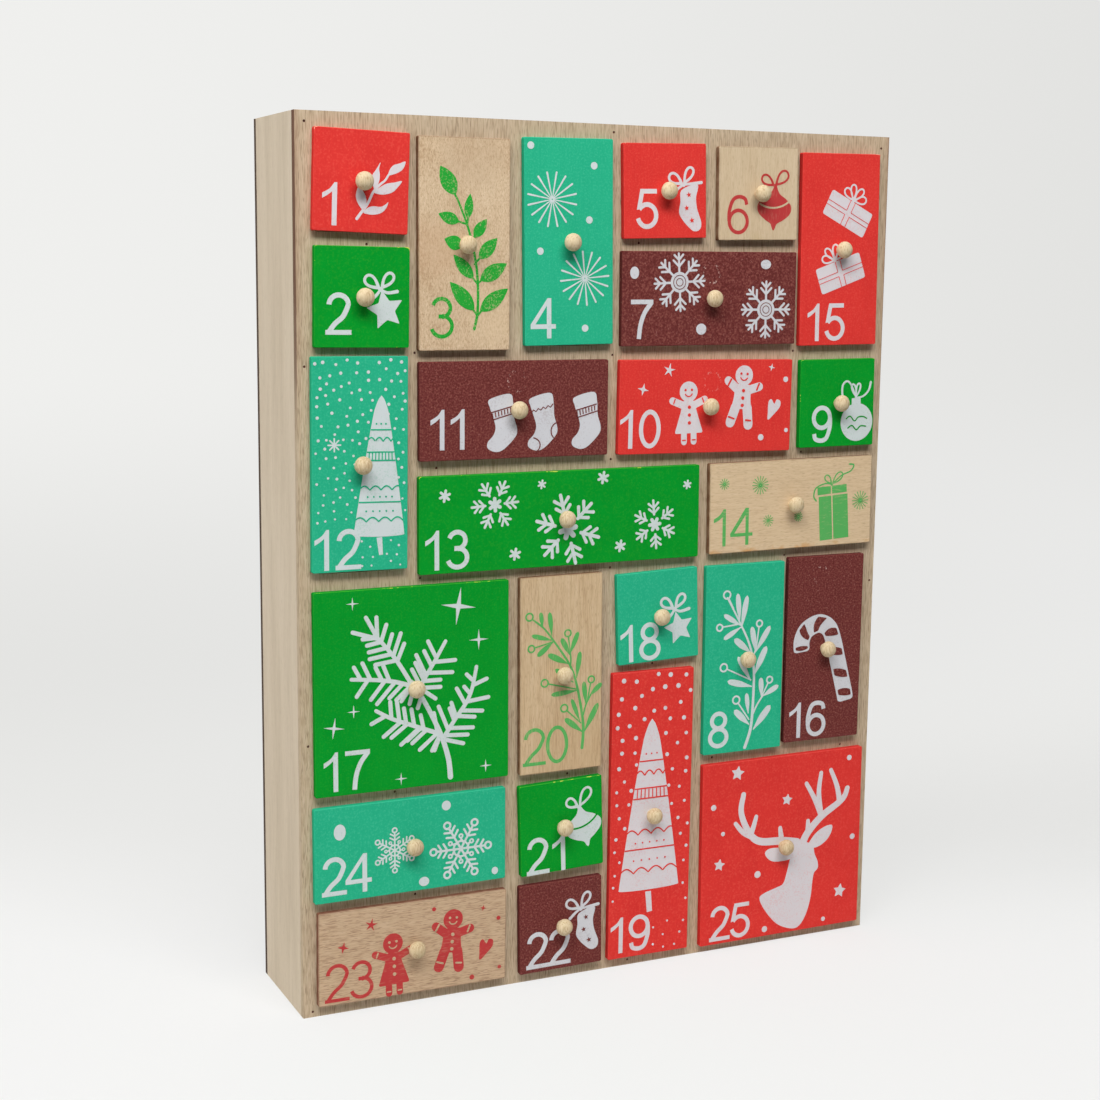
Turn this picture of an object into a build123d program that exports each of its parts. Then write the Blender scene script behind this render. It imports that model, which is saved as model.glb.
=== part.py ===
from build123d import *
import os

# A wooden advent calendar: a shallow cabinet with 25 numbered drawers on a grid of 6 columns and 8 rows.
# Millimetres. The origin is the centre of the base, +Z is up and the drawers pull out along -Y.

# The closed cabinet, without drawer fronts and knobs
cabinet_width = 300.0
cabinet_height = 400.0
cabinet_depth = 60.0

# Boards and sheets of the cabinet
side_thickness = 7.0
top_thickness = 8.0
bottom_thickness = 6.0
divider_thickness = 7.0
face_thickness = 3.5
back_thickness = 3.0

# The drawer grid
grid_columns = 6
grid_rows = 8

# Windows in the face sheet, smaller than the compartments behind them at the sides and at the top
window_side_inset = 2.2
window_top_inset = 2.0

# Drawer fronts, which lap over the edges of their windows and leave gaps between them
front_thickness = 3.0
front_side_gap = 5.5
front_end_gap = 5.6
front_stand_off = 0.2
front_corner_radius = 0.8
front_edge_radius = 0.3

# Drawer trays, glued to the back of the fronts
tray_wall = 3.0
tray_base = 2.5
tray_side_clearance = 0.5
tray_floor_clearance = 0.3
tray_headroom = 1.0
tray_back_clearance = 0.3

# Turned knobs, each with a peg in a hole through its front
knob_diameter = 8.0
knob_length = 6.4
knob_centre_height = 4.0
knob_neck_diameter = 4.4
knob_peg_diameter = 3.2

# Brads, driven through the face sheet into the boards behind it
brad_diameter = 1.2
brad_length = 14.0
brad_sink = 0.3

# The back panel's tacks
tack_head_diameter = 3.4
tack_head_height = 0.5
tack_shank_diameter = 1.2
tack_length = 10.0

# Drawer number: left column, top row, columns wide, rows high, then how its front was sawn and glued on by hand:
# its tilt in degrees, its shift to the right and up, and how much wider and taller than usual it came out
drawers = {
    1: (0, 0, 1, 1, -1.7, 0.7, 0.3, -0.5, -0.5),
    2: (0, 1, 1, 1, -0.6, 0.8, 0.6, -0.3, -0.3),
    3: (1, 0, 1, 2, 0.1, -0.65, -1.1, -0.1, -0.45),
    4: (2, 0, 1, 2, 0.9, 1.2, 0.7, 0.7, -0.85),
    5: (3, 0, 1, 1, 1.5, 0.9, 0.1, -0.5, -0.7),
    6: (4, 0, 1, 1, 1.0, 1.9, 0.1, -0.3, -0.5),
    7: (3, 1, 2, 1, 0.3, 1.7, 0.4, 1.2, -0.1),
    8: (4, 4, 1, 2, 0.2, 0.7, -1.5, 0.5, 0.75),
    9: (5, 2, 1, 1, 0.6, 0.9, -0.85, -0.6, -0.9),
    10: (3, 2, 2, 1, -0.5, 1.0, -0.9, 0.9, 0.3),
    11: (1, 2, 2, 1, 0.1, 0.0, -0.2, 0.4, 0.3),
    12: (0, 2, 1, 2, -0.3, -0.5, 2.1, 0.6, 1.15),
    13: (1, 3, 3, 1, 0.2, 0.1, -1.6, 1.0, 0.5),
    14: (4, 3, 2, 1, 0.7, 1.1, -0.5, 0.1, 0.2),
    15: (5, 0, 1, 2, 0.7, -0.5, -0.8, 0.6, -1.45),
    16: (5, 4, 1, 2, -0.1, -2.1, 0.0, 0.3, 0.55),
    17: (0, 4, 2, 2, 0.2, -0.3, -1.0, 0.6, -0.35),
    18: (3, 4, 1, 1, 2.2, 1.5, -1.65, -0.3, 0.0),
    19: (3, 5, 1, 3, -0.2, -0.45, -0.5, 0.3, -0.3),
    20: (2, 4, 1, 2, 0.4, -0.3, -1.0, -1.2, 0.55),
    21: (2, 6, 1, 1, 2.0, 0.8, -0.6, -0.5, 0.3),
    22: (2, 7, 1, 1, 0.7, 1.0, -0.25, -0.4, -0.1),
    23: (0, 7, 2, 1, -0.3, -0.2, -0.1, -0.6, 0.2),
    24: (0, 6, 2, 1, 0.2, -1.2, -0.5, 0.3, 0.3),
    25: (4, 6, 2, 2, 0.3, 1.4, -1.2, 0.5, -0.25),
}

# Shelves: the grid line that each lies on, counted from the top, its first column and its columns
shelf_lines = [
    (1, 0, 1),
    (1, 3, 2),
    (2, 0, 6),
    (3, 1, 5),
    (4, 0, 6),
    (5, 3, 1),
    (6, 0, 2),
    (6, 2, 1),
    (6, 4, 2),
    (7, 0, 2),
    (7, 2, 1),
]

# Partitions: the grid line that each stands on, counted from the left, its first row and its rows
partition_lines = [
    (1, 0, 2),
    (2, 0, 2),
    (3, 0, 2),
    (4, 0, 1),
    (5, 0, 2),
    (1, 2, 2),
    (3, 2, 1),
    (5, 2, 1),
    (4, 3, 1),
    (2, 4, 4),
    (3, 4, 4),
    (4, 4, 4),
    (5, 4, 2),
]

# Brads in columns from the left side board and rows from the top board
brad_places = [
    (0.02, 0),
    (3, -0.02),
    (5.98, 0.02),
    (0.58, 1.03),
    (3.28, 0.98),
    (0, 2.09),
    (1.03, 1.98),
    (3.02, 2.02),
    (5.02, 2),
    (5.98, 2.11),
    (1.24, 3.02),
    (3.02, 3),
    (5.15, 3),
    (1.08, 4.02),
    (3.03, 4.04),
    (4.99, 4.03),
    (6.03, 4.35),
    (3.51, 5.01),
    (0, 5.49),
    (0.83, 6),
    (2.6, 6.02),
    (4.21, 6.03),
    (5.74, 6.05),
    (1.03, 7.01),
    (2.52, 6.97),
    (0.02, 8),
    (3.29, 8),
]

# The grid and the planes that the pieces share
column_pitch = (cabinet_width - 2 * side_thickness + divider_thickness) / grid_columns
row_pitch = (cabinet_height - top_thickness - bottom_thickness + divider_thickness) / grid_rows
inner_left = side_thickness - cabinet_width / 2
inner_top = cabinet_height - top_thickness
face_front = -cabinet_depth / 2
face_back = face_front + face_thickness
panel_front = cabinet_depth / 2 - back_thickness
board_depth = panel_front - face_back
front_back = face_front - front_stand_off
front_face = front_back - front_thickness
tray_back = panel_front - tray_back_clearance
tray_length = tray_back - front_back


def column_left(column):
    return inner_left + column * column_pitch


def row_top(row):
    return inner_top - row * row_pitch


def columns_width(columns):
    return columns * column_pitch - divider_thickness


def rows_height(rows):
    return rows * row_pitch - divider_thickness


def compartment_of(number):
    column, row, columns, rows = drawers[number][:4]
    width = columns_width(columns)
    height = rows_height(rows)
    return column_left(column) + width / 2, row_top(row) - height / 2, width, height


def window_of(number):
    x, z, width, height = compartment_of(number)
    return x, z - window_top_inset / 2, width - 2 * window_side_inset, height - window_top_inset


def front_centre(number):
    x, z = compartment_of(number)[:2]
    shift_right, shift_up = drawers[number][5:7]
    return x + shift_right, z + shift_up


def front_size(number):
    columns, rows = drawers[number][2:4]
    wider, taller = drawers[number][7:]
    return columns * column_pitch - front_side_gap + wider, rows * row_pitch - front_end_gap + taller


def brad_points():
    left = inner_left - divider_thickness / 2
    top = inner_top + divider_thickness / 2
    return [(left + column * column_pitch, top - row * row_pitch) for column, row in brad_places]


def tack_points():
    inset = side_thickness / 2
    columns = [-cabinet_width / 2 + inset, 0, cabinet_width / 2 - inset]
    bottom_and_top = [(x, z) for x in columns for z in (bottom_thickness / 2, inner_top + top_thickness / 2)]
    middle = cabinet_height / 2
    return bottom_and_top + [(columns[0], middle), (columns[2], middle)]


# Nails

with BuildPart() as face_brads:
    with BuildSketch(Plane.XZ.offset(-face_front - brad_sink)):
        with Locations(*brad_points()):
            Circle(brad_diameter / 2)
    extrude(amount=-brad_length)
face_brads.part.label = "face_brads"

with BuildPart() as back_tacks:
    with BuildSketch(Plane.XZ.offset(-cabinet_depth / 2)):
        with Locations(*tack_points()):
            Circle(tack_head_diameter / 2)
    extrude(amount=-tack_head_height)
    with BuildSketch(Plane.XZ.offset(-cabinet_depth / 2)):
        with Locations(*tack_points()):
            Circle(tack_shank_diameter / 2)
    extrude(amount=tack_length)
back_tacks.part.label = "back_tacks"


# Cabinet

def nailed_board(label, width, height, x, z):
    with BuildPart() as board:
        with BuildSketch(Plane.XZ.offset(-panel_front)):
            with Locations((x, z)):
                Rectangle(width, height)
        extrude(amount=board_depth)
        add(face_brads.part, mode=Mode.SUBTRACT)
        add(back_tacks.part, mode=Mode.SUBTRACT)
    board.part.label = label
    return board.part


side_x = (cabinet_width - side_thickness) / 2
inner_width = cabinet_width - 2 * side_thickness
left_side_board = nailed_board("left_side_board", side_thickness, cabinet_height, -side_x, cabinet_height / 2)
right_side_board = nailed_board("right_side_board", side_thickness, cabinet_height, side_x, cabinet_height / 2)
top_board = nailed_board("top_board", inner_width, top_thickness, 0, inner_top + top_thickness / 2)
bottom_board = nailed_board("bottom_board", inner_width, bottom_thickness, 0, bottom_thickness / 2)

with BuildPart() as shelves:
    with BuildSketch(Plane.XZ.offset(-panel_front)):
        for line, column, columns in shelf_lines:
            width = columns_width(columns)
            with Locations((column_left(column) + width / 2, row_top(line) + divider_thickness / 2)):
                Rectangle(width, divider_thickness)
    extrude(amount=board_depth)
    add(face_brads.part, mode=Mode.SUBTRACT)
shelves.part.label = "shelves"

with BuildPart() as partitions:
    with BuildSketch(Plane.XZ.offset(-panel_front)):
        for line, row, rows in partition_lines:
            height = rows_height(rows)
            with Locations((column_left(line) - divider_thickness / 2, row_top(row) - height / 2)):
                Rectangle(divider_thickness, height)
    extrude(amount=board_depth)
    add(face_brads.part, mode=Mode.SUBTRACT)
partitions.part.label = "partitions"

with BuildPart() as face_sheet:
    with BuildSketch(Plane.XZ.offset(-face_back)):
        with Locations((0, cabinet_height / 2)):
            Rectangle(cabinet_width, cabinet_height)
        for number in drawers:
            x, z, width, height = window_of(number)
            with Locations((x, z)):
                Rectangle(width, height, mode=Mode.SUBTRACT)
        with Locations(*brad_points()):
            Circle(brad_diameter / 2, mode=Mode.SUBTRACT)
    extrude(amount=face_thickness)
face_sheet.part.label = "face_sheet"

with BuildPart() as back_panel:
    with BuildSketch(Plane.XZ.offset(-panel_front)):
        with Locations((0, cabinet_height / 2)):
            Rectangle(cabinet_width, cabinet_height)
        with Locations(*tack_points()):
            Circle(tack_shank_diameter / 2, mode=Mode.SUBTRACT)
    extrude(amount=-back_thickness)
back_panel.part.label = "back_panel"


# Drawers

def drawer_front(number):
    x, z = front_centre(number)
    width, height = front_size(number)
    face_plane = Plane(origin=(x, front_back, z), x_dir=(1, 0, 0), z_dir=(0, -1, 0))
    with BuildPart() as front:
        with BuildSketch(face_plane):
            RectangleRounded(width, height, front_corner_radius, rotation=drawers[number][4])
            Circle(knob_peg_diameter / 2, mode=Mode.SUBTRACT)
        extrude(amount=front_thickness)
        fillet(front.faces().sort_by(Axis.Y)[0].outer_wire().edges(), front_edge_radius)
    return front.part


def tray_board(label, width, length, height, x, y, z):
    with BuildPart() as board:
        with BuildSketch(Plane.XY.offset(z)):
            with Locations((x, y)):
                Rectangle(width, length)
        extrude(amount=height)
    board.part.label = label
    return board.part


def tray_boards(number):
    x, z, window_width, window_height = window_of(number)
    floor = z - window_height / 2 + tray_floor_clearance
    height = window_height - tray_floor_clearance - tray_headroom
    half_width = window_width / 2 - tray_side_clearance
    wall_x = half_width - tray_wall / 2
    inner_width = 2 * (half_width - tray_wall)
    middle_y = (front_back + tray_back) / 2
    base_length = tray_length - tray_wall
    return [
        tray_board("left_wall", tray_wall, tray_length, height, x - wall_x, middle_y, floor),
        tray_board("right_wall", tray_wall, tray_length, height, x + wall_x, middle_y, floor),
        tray_board("back_wall", inner_width, tray_wall, height, x, tray_back - tray_wall / 2, floor),
        tray_board("base", inner_width, base_length, tray_base, x, front_back + base_length / 2, floor),
    ]


def turned_knob(number):
    x, z = front_centre(number)
    axis_plane = Plane(origin=(x, front_face, z), x_dir=(1, 0, 0), z_dir=(0, 0, 1))
    half_plane = knob_diameter
    with BuildPart() as knob:
        with BuildSketch(axis_plane):
            with Locations((0, -knob_centre_height)):
                Ellipse(knob_diameter / 2, knob_length / 2)
            with Locations((0, -knob_centre_height / 2)):
                Rectangle(knob_neck_diameter, knob_centre_height)
            with Locations((0, front_thickness / 2)):
                Rectangle(knob_peg_diameter, front_thickness)
            with Locations((half_plane / 2, 0)):
                Rectangle(half_plane, 2 * (knob_length + front_thickness), mode=Mode.INTERSECT)
        revolve(axis=Axis(axis_plane.origin, (0, 1, 0)))
    knob.part.label = "knob"
    return knob.part


os.makedirs("parts", exist_ok=True)

cabinet_pieces = [
    left_side_board,
    right_side_board,
    top_board,
    bottom_board,
    shelves.part,
    partitions.part,
    face_sheet.part,
    back_panel.part,
    face_brads.part,
    back_tacks.part,
]
for piece in cabinet_pieces:
    export_step(piece, f"parts/{piece.label}.step")

for number in drawers:
    front = drawer_front(number)
    front.label = f"drawer_{number:02d}_front"
    export_step(front, f"parts/{front.label}.step")

    tray = Compound(children=[*tray_boards(number), turned_knob(number)])
    tray.label = f"drawer_{number:02d}_tray_and_knob"
    export_step(tray, f"parts/{tray.label}.step")
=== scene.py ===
import bpy
import bmesh
import random
from math import atan2, cos, degrees, hypot, pi, radians, sin, sqrt
from mathutils import Matrix, Vector


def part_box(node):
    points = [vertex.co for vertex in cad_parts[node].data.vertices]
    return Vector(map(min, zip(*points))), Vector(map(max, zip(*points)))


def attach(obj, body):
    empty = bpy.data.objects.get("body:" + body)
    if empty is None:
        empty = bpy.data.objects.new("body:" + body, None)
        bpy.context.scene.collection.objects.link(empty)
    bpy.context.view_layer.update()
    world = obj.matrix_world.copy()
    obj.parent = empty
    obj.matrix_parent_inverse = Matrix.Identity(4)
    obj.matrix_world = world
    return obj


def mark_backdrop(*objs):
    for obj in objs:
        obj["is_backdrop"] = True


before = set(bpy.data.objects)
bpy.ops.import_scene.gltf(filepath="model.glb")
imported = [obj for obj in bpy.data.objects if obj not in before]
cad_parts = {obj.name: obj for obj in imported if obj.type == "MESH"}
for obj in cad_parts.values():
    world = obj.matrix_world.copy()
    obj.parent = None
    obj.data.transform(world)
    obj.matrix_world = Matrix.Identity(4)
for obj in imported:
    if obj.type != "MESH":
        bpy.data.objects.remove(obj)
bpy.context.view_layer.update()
mm = 0.001


# Every drawer: the tilt of its glued front in degrees, its finish, its number's left edge and base line in
# millimetres from the middle of the front, and the scuff rings on it: middle and strength
drawers = {
    1: {"tilt": -1.7, "finish": "red", "number": (-17.4, -19.1)},
    2: {"tilt": -0.6, "finish": "green", "number": (-16.6, -16.1)},
    3: {"tilt": 0.1, "finish": "bare", "number": (-16.5, -40.6)},
    4: {"tilt": 0.9, "finish": "teal", "number": (-19.3, -42.7)},
    5: {"tilt": 1.5, "finish": "red", "number": (-15.3, -17.1)},
    6: {"tilt": 1.0, "finish": "bare", "number": (-16.9, -18.7)},
    7: {"tilt": 0.3, "finish": "brown", "number": (-42.2, -18.4), "scuffs": [(0.0, 11.5, 0.8)]},
    8: {"tilt": 0.2, "finish": "teal", "number": (-19.4, -43.6)},
    9: {"tilt": 0.6, "finish": "green", "number": (-14.4, -19.2)},
    10: {"tilt": -0.5, "finish": "red", "number": (-45.9, -19.2), "scuffs": [(2.4, 11.6, 0.3)]},
    11: {"tilt": 0.1, "finish": "brown", "number": (-41.2, -17.2), "scuffs": [(0.5, 12.8, 0.8)]},
    12: {"tilt": -0.3, "finish": "teal", "number": (-21.0, -45.9)},
    13: {"tilt": 0.2, "finish": "green", "number": (-68.2, -20.3)},
    14: {"tilt": 0.7, "finish": "bare", "number": (-43.8, -18.4)},
    15: {"tilt": 0.7, "finish": "red", "number": (-17.7, -43.5)},
    16: {"tilt": -0.1, "finish": "brown", "number": (-19.0, -44.8), "scuffs": [(-2.8, 36.8, 0.8)]},
    17: {"tilt": 0.2, "finish": "green", "number": (-42.6, -44.0)},
    18: {"tilt": 2.2, "finish": "teal", "number": (-20.4, -20.8)},
    19: {"tilt": -0.2, "finish": "red", "number": (-20.6, -68.1)},
    20: {"tilt": 0.4, "finish": "bare", "number": (-19.6, -42.5)},
    21: {"tilt": 2.0, "finish": "green", "number": (-18.6, -21.9)},
    22: {"tilt": 0.7, "finish": "brown", "number": (-18.2, -19.8)},
    23: {"tilt": -0.3, "finish": "bare", "number": (-42.9, -20.5)},
    24: {"tilt": 0.2, "finish": "teal", "number": (-43.0, -18.8)},
    25: {"tilt": 0.3, "finish": "red", "number": (-41.2, -44.6)},
}


def frontPlace(number):  # a front's middle in metres; its width, thickness and height in millimetres
    low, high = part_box(f"drawer_{number:02d}_front")
    wide, thick, tall = (high - low) / mm
    tilt = radians(drawers[number]["tilt"])
    c, s = cos(tilt), abs(sin(tilt))
    spread = c * c - s * s
    return (low + high) / 2, (wide * c - tall * s) / spread, thick, (tall * c - wide * s) / spread


def srgb(red, green, blue):  # a colour as a picture editor shows it, 0 to 255
    shares = [c / 255 for c in (red, green, blue)]
    return tuple(c / 12.92 if c <= 0.04045 else ((c + 0.055) / 1.055) ** 2.4 for c in shares) + (1,)


# Shader nodes

class Wire:  # one output socket, with its maths written as Python
    def __init__(self, finish, socket):
        self.finish = finish
        self.socket = socket

    def maths(self, operation, *values):
        return self.finish.node("ShaderNodeMath", {"operation": operation}, dict(enumerate(values)))

    def __add__(self, other):
        return self.maths("ADD", self, other)

    def __radd__(self, other):
        return self.maths("ADD", other, self)

    def __sub__(self, other):
        return self.maths("SUBTRACT", self, other)

    def __rsub__(self, other):
        return self.maths("SUBTRACT", other, self)

    def __mul__(self, other):
        return self.maths("MULTIPLY", self, other)

    def __rmul__(self, other):
        return self.maths("MULTIPLY", other, self)

    def __pow__(self, other):
        return self.maths("POWER", self, other)

    def __abs__(self):
        return self.maths("ABSOLUTE", self)

    def least(self, other):
        return self.maths("MINIMUM", self, other)

    def most(self, other):
        return self.maths("MAXIMUM", self, other)

    def step(self, low, high):  # 0 below low, 1 above high, smooth between
        settings = {"interpolation_type": "SMOOTHSTEP"}
        return self.finish.node("ShaderNodeMapRange", settings, {0: self, 1: low, 2: high, 3: 0.0, 4: 1.0})


class Finish:  # one material
    def __init__(self, name):
        self.material = bpy.data.materials.new(name)
        self.material.use_nodes = True
        self.tree = self.material.node_tree
        self.tree.nodes.clear()

    def node(self, kind, settings=None, values=None, out=0):
        made = self.tree.nodes.new(kind)
        for name, value in (settings or {}).items():
            if name == "stops":
                for position, colour in value[2:]:
                    made.color_ramp.elements.new(position)
                for stop, (position, colour) in zip(made.color_ramp.elements, value):
                    stop.position = position
                    stop.color = colour
            else:
                setattr(made, name, value)
        for name, value in (values or {}).items():
            if isinstance(value, Wire):
                self.tree.links.new(value.socket, made.inputs[name])
            else:
                made.inputs[name].default_value = value
        return Wire(self, made.outputs[out]) if made.outputs else None

    def place(self, middle=(0, 0, 0), tilt=0.0):  # millimetres from a piece's middle, along its own sides
        here = self.node("ShaderNodeTexCoord", out="Object")
        values = {"Vector": here, "Location": tuple(middle), "Rotation": (0, -radians(tilt), 0), "Scale": (mm, mm, mm)}
        return self.node("ShaderNodeMapping", {"vector_type": "TEXTURE"}, values)

    def axes(self, here):
        return [self.node("ShaderNodeSeparateXYZ", None, {0: here}, name) for name in "XYZ"]

    def noise(self, here, size, long=(1, 1, 1), seed=0.0, detail=2.0, rough=0.5, warp=0.0):
        factors = tuple(1 / (size * k) for k in long)
        start = (seed * 7.31, seed * 3.17, seed * 5.73)
        spot = self.node("ShaderNodeVectorMath", {"operation": "MULTIPLY_ADD"}, {0: here, 1: factors, 2: start})
        values = {"Vector": spot, "Scale": 1.0, "Detail": detail, "Roughness": rough, "Distortion": warp}
        return self.node("ShaderNodeTexNoise", None, values, "Fac")

    def mix(self, amount, first, second):
        settings = {"data_type": "RGBA", "clamp_factor": True}
        return self.node("ShaderNodeMix", settings, {0: amount, 6: first, 7: second}, 2)

    def ramp(self, amount, *colours):
        stops = [(i / (len(colours) - 1), colour) for i, colour in enumerate(colours)]
        return self.node("ShaderNodeValToRGB", {"stops": stops}, {0: amount})

    def bump(self, height, distance, strength=1.0):
        return self.node("ShaderNodeBump", None, {"Height": height, "Distance": distance, "Strength": strength})

    def close(self, **sockets):  # the shader and the output
        values = {name.replace("_", " "): value for name, value in sockets.items()}
        shader = self.node("ShaderNodeBsdfPrincipled", None, values)
        self.node("ShaderNodeOutputMaterial", None, {"Surface": shader})
        return self.material

    def matt(self, colour, uneven, relief, light):  # a dull surface that is rougher where it is uneven
        rough, more = light["rough"]
        return self.close(Base_Color=colour, Roughness=rough + more * uneven, Specular_IOR_Level=light["specular"],
                          Normal=self.bump(relief, *light["bump"]))


# Paint: a thin brushed coat, rubbed light along the arrises and chipped at corners and top edges. Its sides are
# coloured darker as painted shade, and its top edges lighter, partly as a painted highlight

paints = {
    "red": {"colour": srgb(222, 58, 52), "deep": srgb(206, 46, 43), "arris": srgb(238, 110, 98),
            "side": srgb(206, 50, 46), "chip": srgb(244, 176, 150), "chips": 0.02, "grain": 1.0,
            "print": srgb(216, 210, 213)},
    "green": {"colour": srgb(2, 150, 42), "deep": srgb(0, 138, 36), "arris": srgb(110, 190, 50),
              "side": srgb(0, 140, 38), "chip": srgb(196, 206, 84), "chips": 0.06, "grain": 0.4,
              "print": srgb(205, 214, 213)},
    "teal": {"colour": srgb(42, 178, 135), "deep": srgb(32, 168, 127), "arris": srgb(96, 206, 168),
             "side": srgb(38, 168, 127), "grain": 1.0, "print": srgb(206, 215, 215)},
    "brown": {"colour": srgb(111, 53, 50), "deep": srgb(101, 46, 44), "arris": srgb(140, 80, 72),
              "side": srgb(94, 41, 39), "speck": srgb(150, 96, 90), "specks": (0.735, 0.795), "grain": 4.6,
              "print": srgb(208, 208, 212)},
}
scuffRing = {"radius": 4.4, "soft": (0.2, 0.8), "colour": srgb(226, 196, 186), "fleck": 0.8, "patch": 4.0}
# The coat's noise by its size in millimetres, where the sides and the top edge begin, and how it takes light
coat = {"cloud": 16, "brush": 0.7, "brushLong": (1, 1, 12), "grit": 0.85, "rub": 2.4, "patch": 14, "speck": 0.9,
        "side": (0.15, 0.5), "top": (1.4, 0.4), "rough": (0.62, 0.2), "specular": 0.06, "bump": (0.00010, 0.3)}


def paintFinish(number):
    name = drawers[number]["finish"]
    paint = paints[name]
    middle, width, thick, height = frontPlace(number)
    f = Finish(f"{name}_paint_{number:02d}")
    here = f.place(middle, drawers[number]["tilt"])
    x, y, z = f.axes(here)
    toSide, toEnd = (width / 2 - abs(x)).most(0.0), (height / 2 - abs(z)).most(0.0)
    inset = toSide.least(toEnd)
    depth = (y + thick / 2).most(0.0)
    arris = inset + depth  # way from the face's edge
    corner = toSide + toEnd + depth
    cloud = f.noise(here, coat["cloud"], seed=number)
    brush = f.noise(here, coat["brush"], coat["brushLong"], number, 2)
    grit = f.noise(here, coat["grit"], seed=number)
    rub = f.noise(here, coat["rub"], seed=number + 40, detail=3, rough=0.65)
    patch = f.noise(here, coat["patch"], seed=number + 70, detail=1)
    colour = f.mix((cloud - 0.35) * 0.9 + (brush - 0.5) * 0.8, paint["colour"], paint["deep"])
    colour = f.mix((grit - 0.5) * paint["grain"], colour, paint["arris"])
    colour = f.mix((0.5 - grit) * paint["grain"], colour, paint["side"])
    # the sides of a front take the darker side colour: painted shade, since they catch less light than the face
    colour = f.mix(depth.step(*coat["side"]), colour, paint["side"])
    onTop = z.step(*(height / 2 - below for below in coat["top"]))
    # lighter along the arrises: partly rubbed paint, partly a painted highlight, strongest along the top edge where the
    # light from above falls
    colour = f.mix((1.0 - arris * 2.6) * rub * (0.15 + 0.7 * onTop), colour, paint["arris"])
    if "specks" in paint:
        spots = f.noise(here, coat["speck"], seed=number + 10, detail=0)
        colour = f.mix(spots.step(*paint["specks"]) * 0.7, colour, paint["speck"])
    if "chips" in paint:
        near = (1.0 - arris * 1.3).most(0.0) * 0.26 + (1.0 - corner * 0.5).most(0.0) * 0.14
        chips = (rub * 0.6 + patch * 0.4 + near + paint["chips"] * (0.3 + onTop)).step(0.84, 0.9)
        colour = f.mix(chips, colour, paint["chip"])
    for scuffX, scuffZ, much in drawers[number].get("scuffs", ()):
        away = ((x - scuffX) ** 2 + (z - scuffZ) ** 2) ** 0.5
        ring = 1.0 - abs(away - scuffRing["radius"]).step(*scuffRing["soft"])
        flecks = f.noise(here, scuffRing["fleck"], seed=number + 20, detail=1).step(0.56, 0.66)
        patchy = f.noise(here, scuffRing["patch"], seed=number + 30).step(0.42, 0.56)
        colour = f.mix(ring * (flecks * patchy) * much, colour, scuffRing["colour"])
    return f.matt(colour, brush, brush * 0.6 + grit * 0.4, coat)


# Bare wood. The fibres' and dashes' sizes are width and length in millimetres, with how strongly they show

woods = {
    "face": {"colours": [srgb(152, 128, 101), srgb(193, 172, 144), srgb(208, 189, 163)], "grain": "z",
             "figure": (5, 70, 0.22), "fibre": (0.5, 9, 1.0), "dash": (0.45, 4.0, 0.38),
             "dashColour": srgb(110, 86, 66)},
    "side": {"colours": [srgb(195, 178, 154), srgb(210, 194, 171), srgb(218, 203, 181)], "grain": "z",
             "figure": (9, 120, 0.7), "fibre": (0.8, 20, 0.5), "dash": (0.5, 4, 0.2),
             "dashColour": srgb(168, 148, 122)},
    "board": {"colours": [srgb(170, 146, 116), srgb(200, 178, 146), srgb(214, 194, 164)], "grain": "x",
              "figure": (8, 90, 0.6), "fibre": (0.7, 18, 0.7), "dash": (0.5, 6, 0.3),
              "dashColour": srgb(140, 112, 82)},
    "back": {"colours": [srgb(118, 88, 60), srgb(136, 104, 74), srgb(150, 118, 86)], "grain": "z",
             "figure": (20, 24, 0.5), "fibre": (0.6, 1.6, 0.7), "dash": (0.5, 1.5, 0.3),
             "dashColour": srgb(90, 66, 44)},
    "tray": {"colours": [srgb(196, 168, 128), srgb(222, 198, 160), srgb(234, 214, 182)], "grain": "y",
             "figure": (6, 60, 0.6), "fibre": (0.7, 16, 0.6), "dash": (0.5, 4, 0.2),
             "dashColour": srgb(176, 142, 100)},
    "knob": {"colours": [srgb(188, 162, 124), srgb(212, 192, 156), srgb(221, 203, 171)], "grain": "z",
             "figure": (30, 60, 0.7), "fibre": (0.6, 4, 0.9), "dash": (0.6, 2.6, 0.55),
             "dashColour": srgb(170, 134, 94)},
    "bare": {"colours": [srgb(178, 146, 112), srgb(207, 181, 148), srgb(220, 197, 165)], "grain": "z",
             "figure": (8, 70, 0.5), "fibre": (0.6, 10, 0.7), "dash": (0.5, 3, 0.35), "dashColour": srgb(158, 122, 90),
             "burnt": srgb(112, 78, 54)},
}

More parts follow.
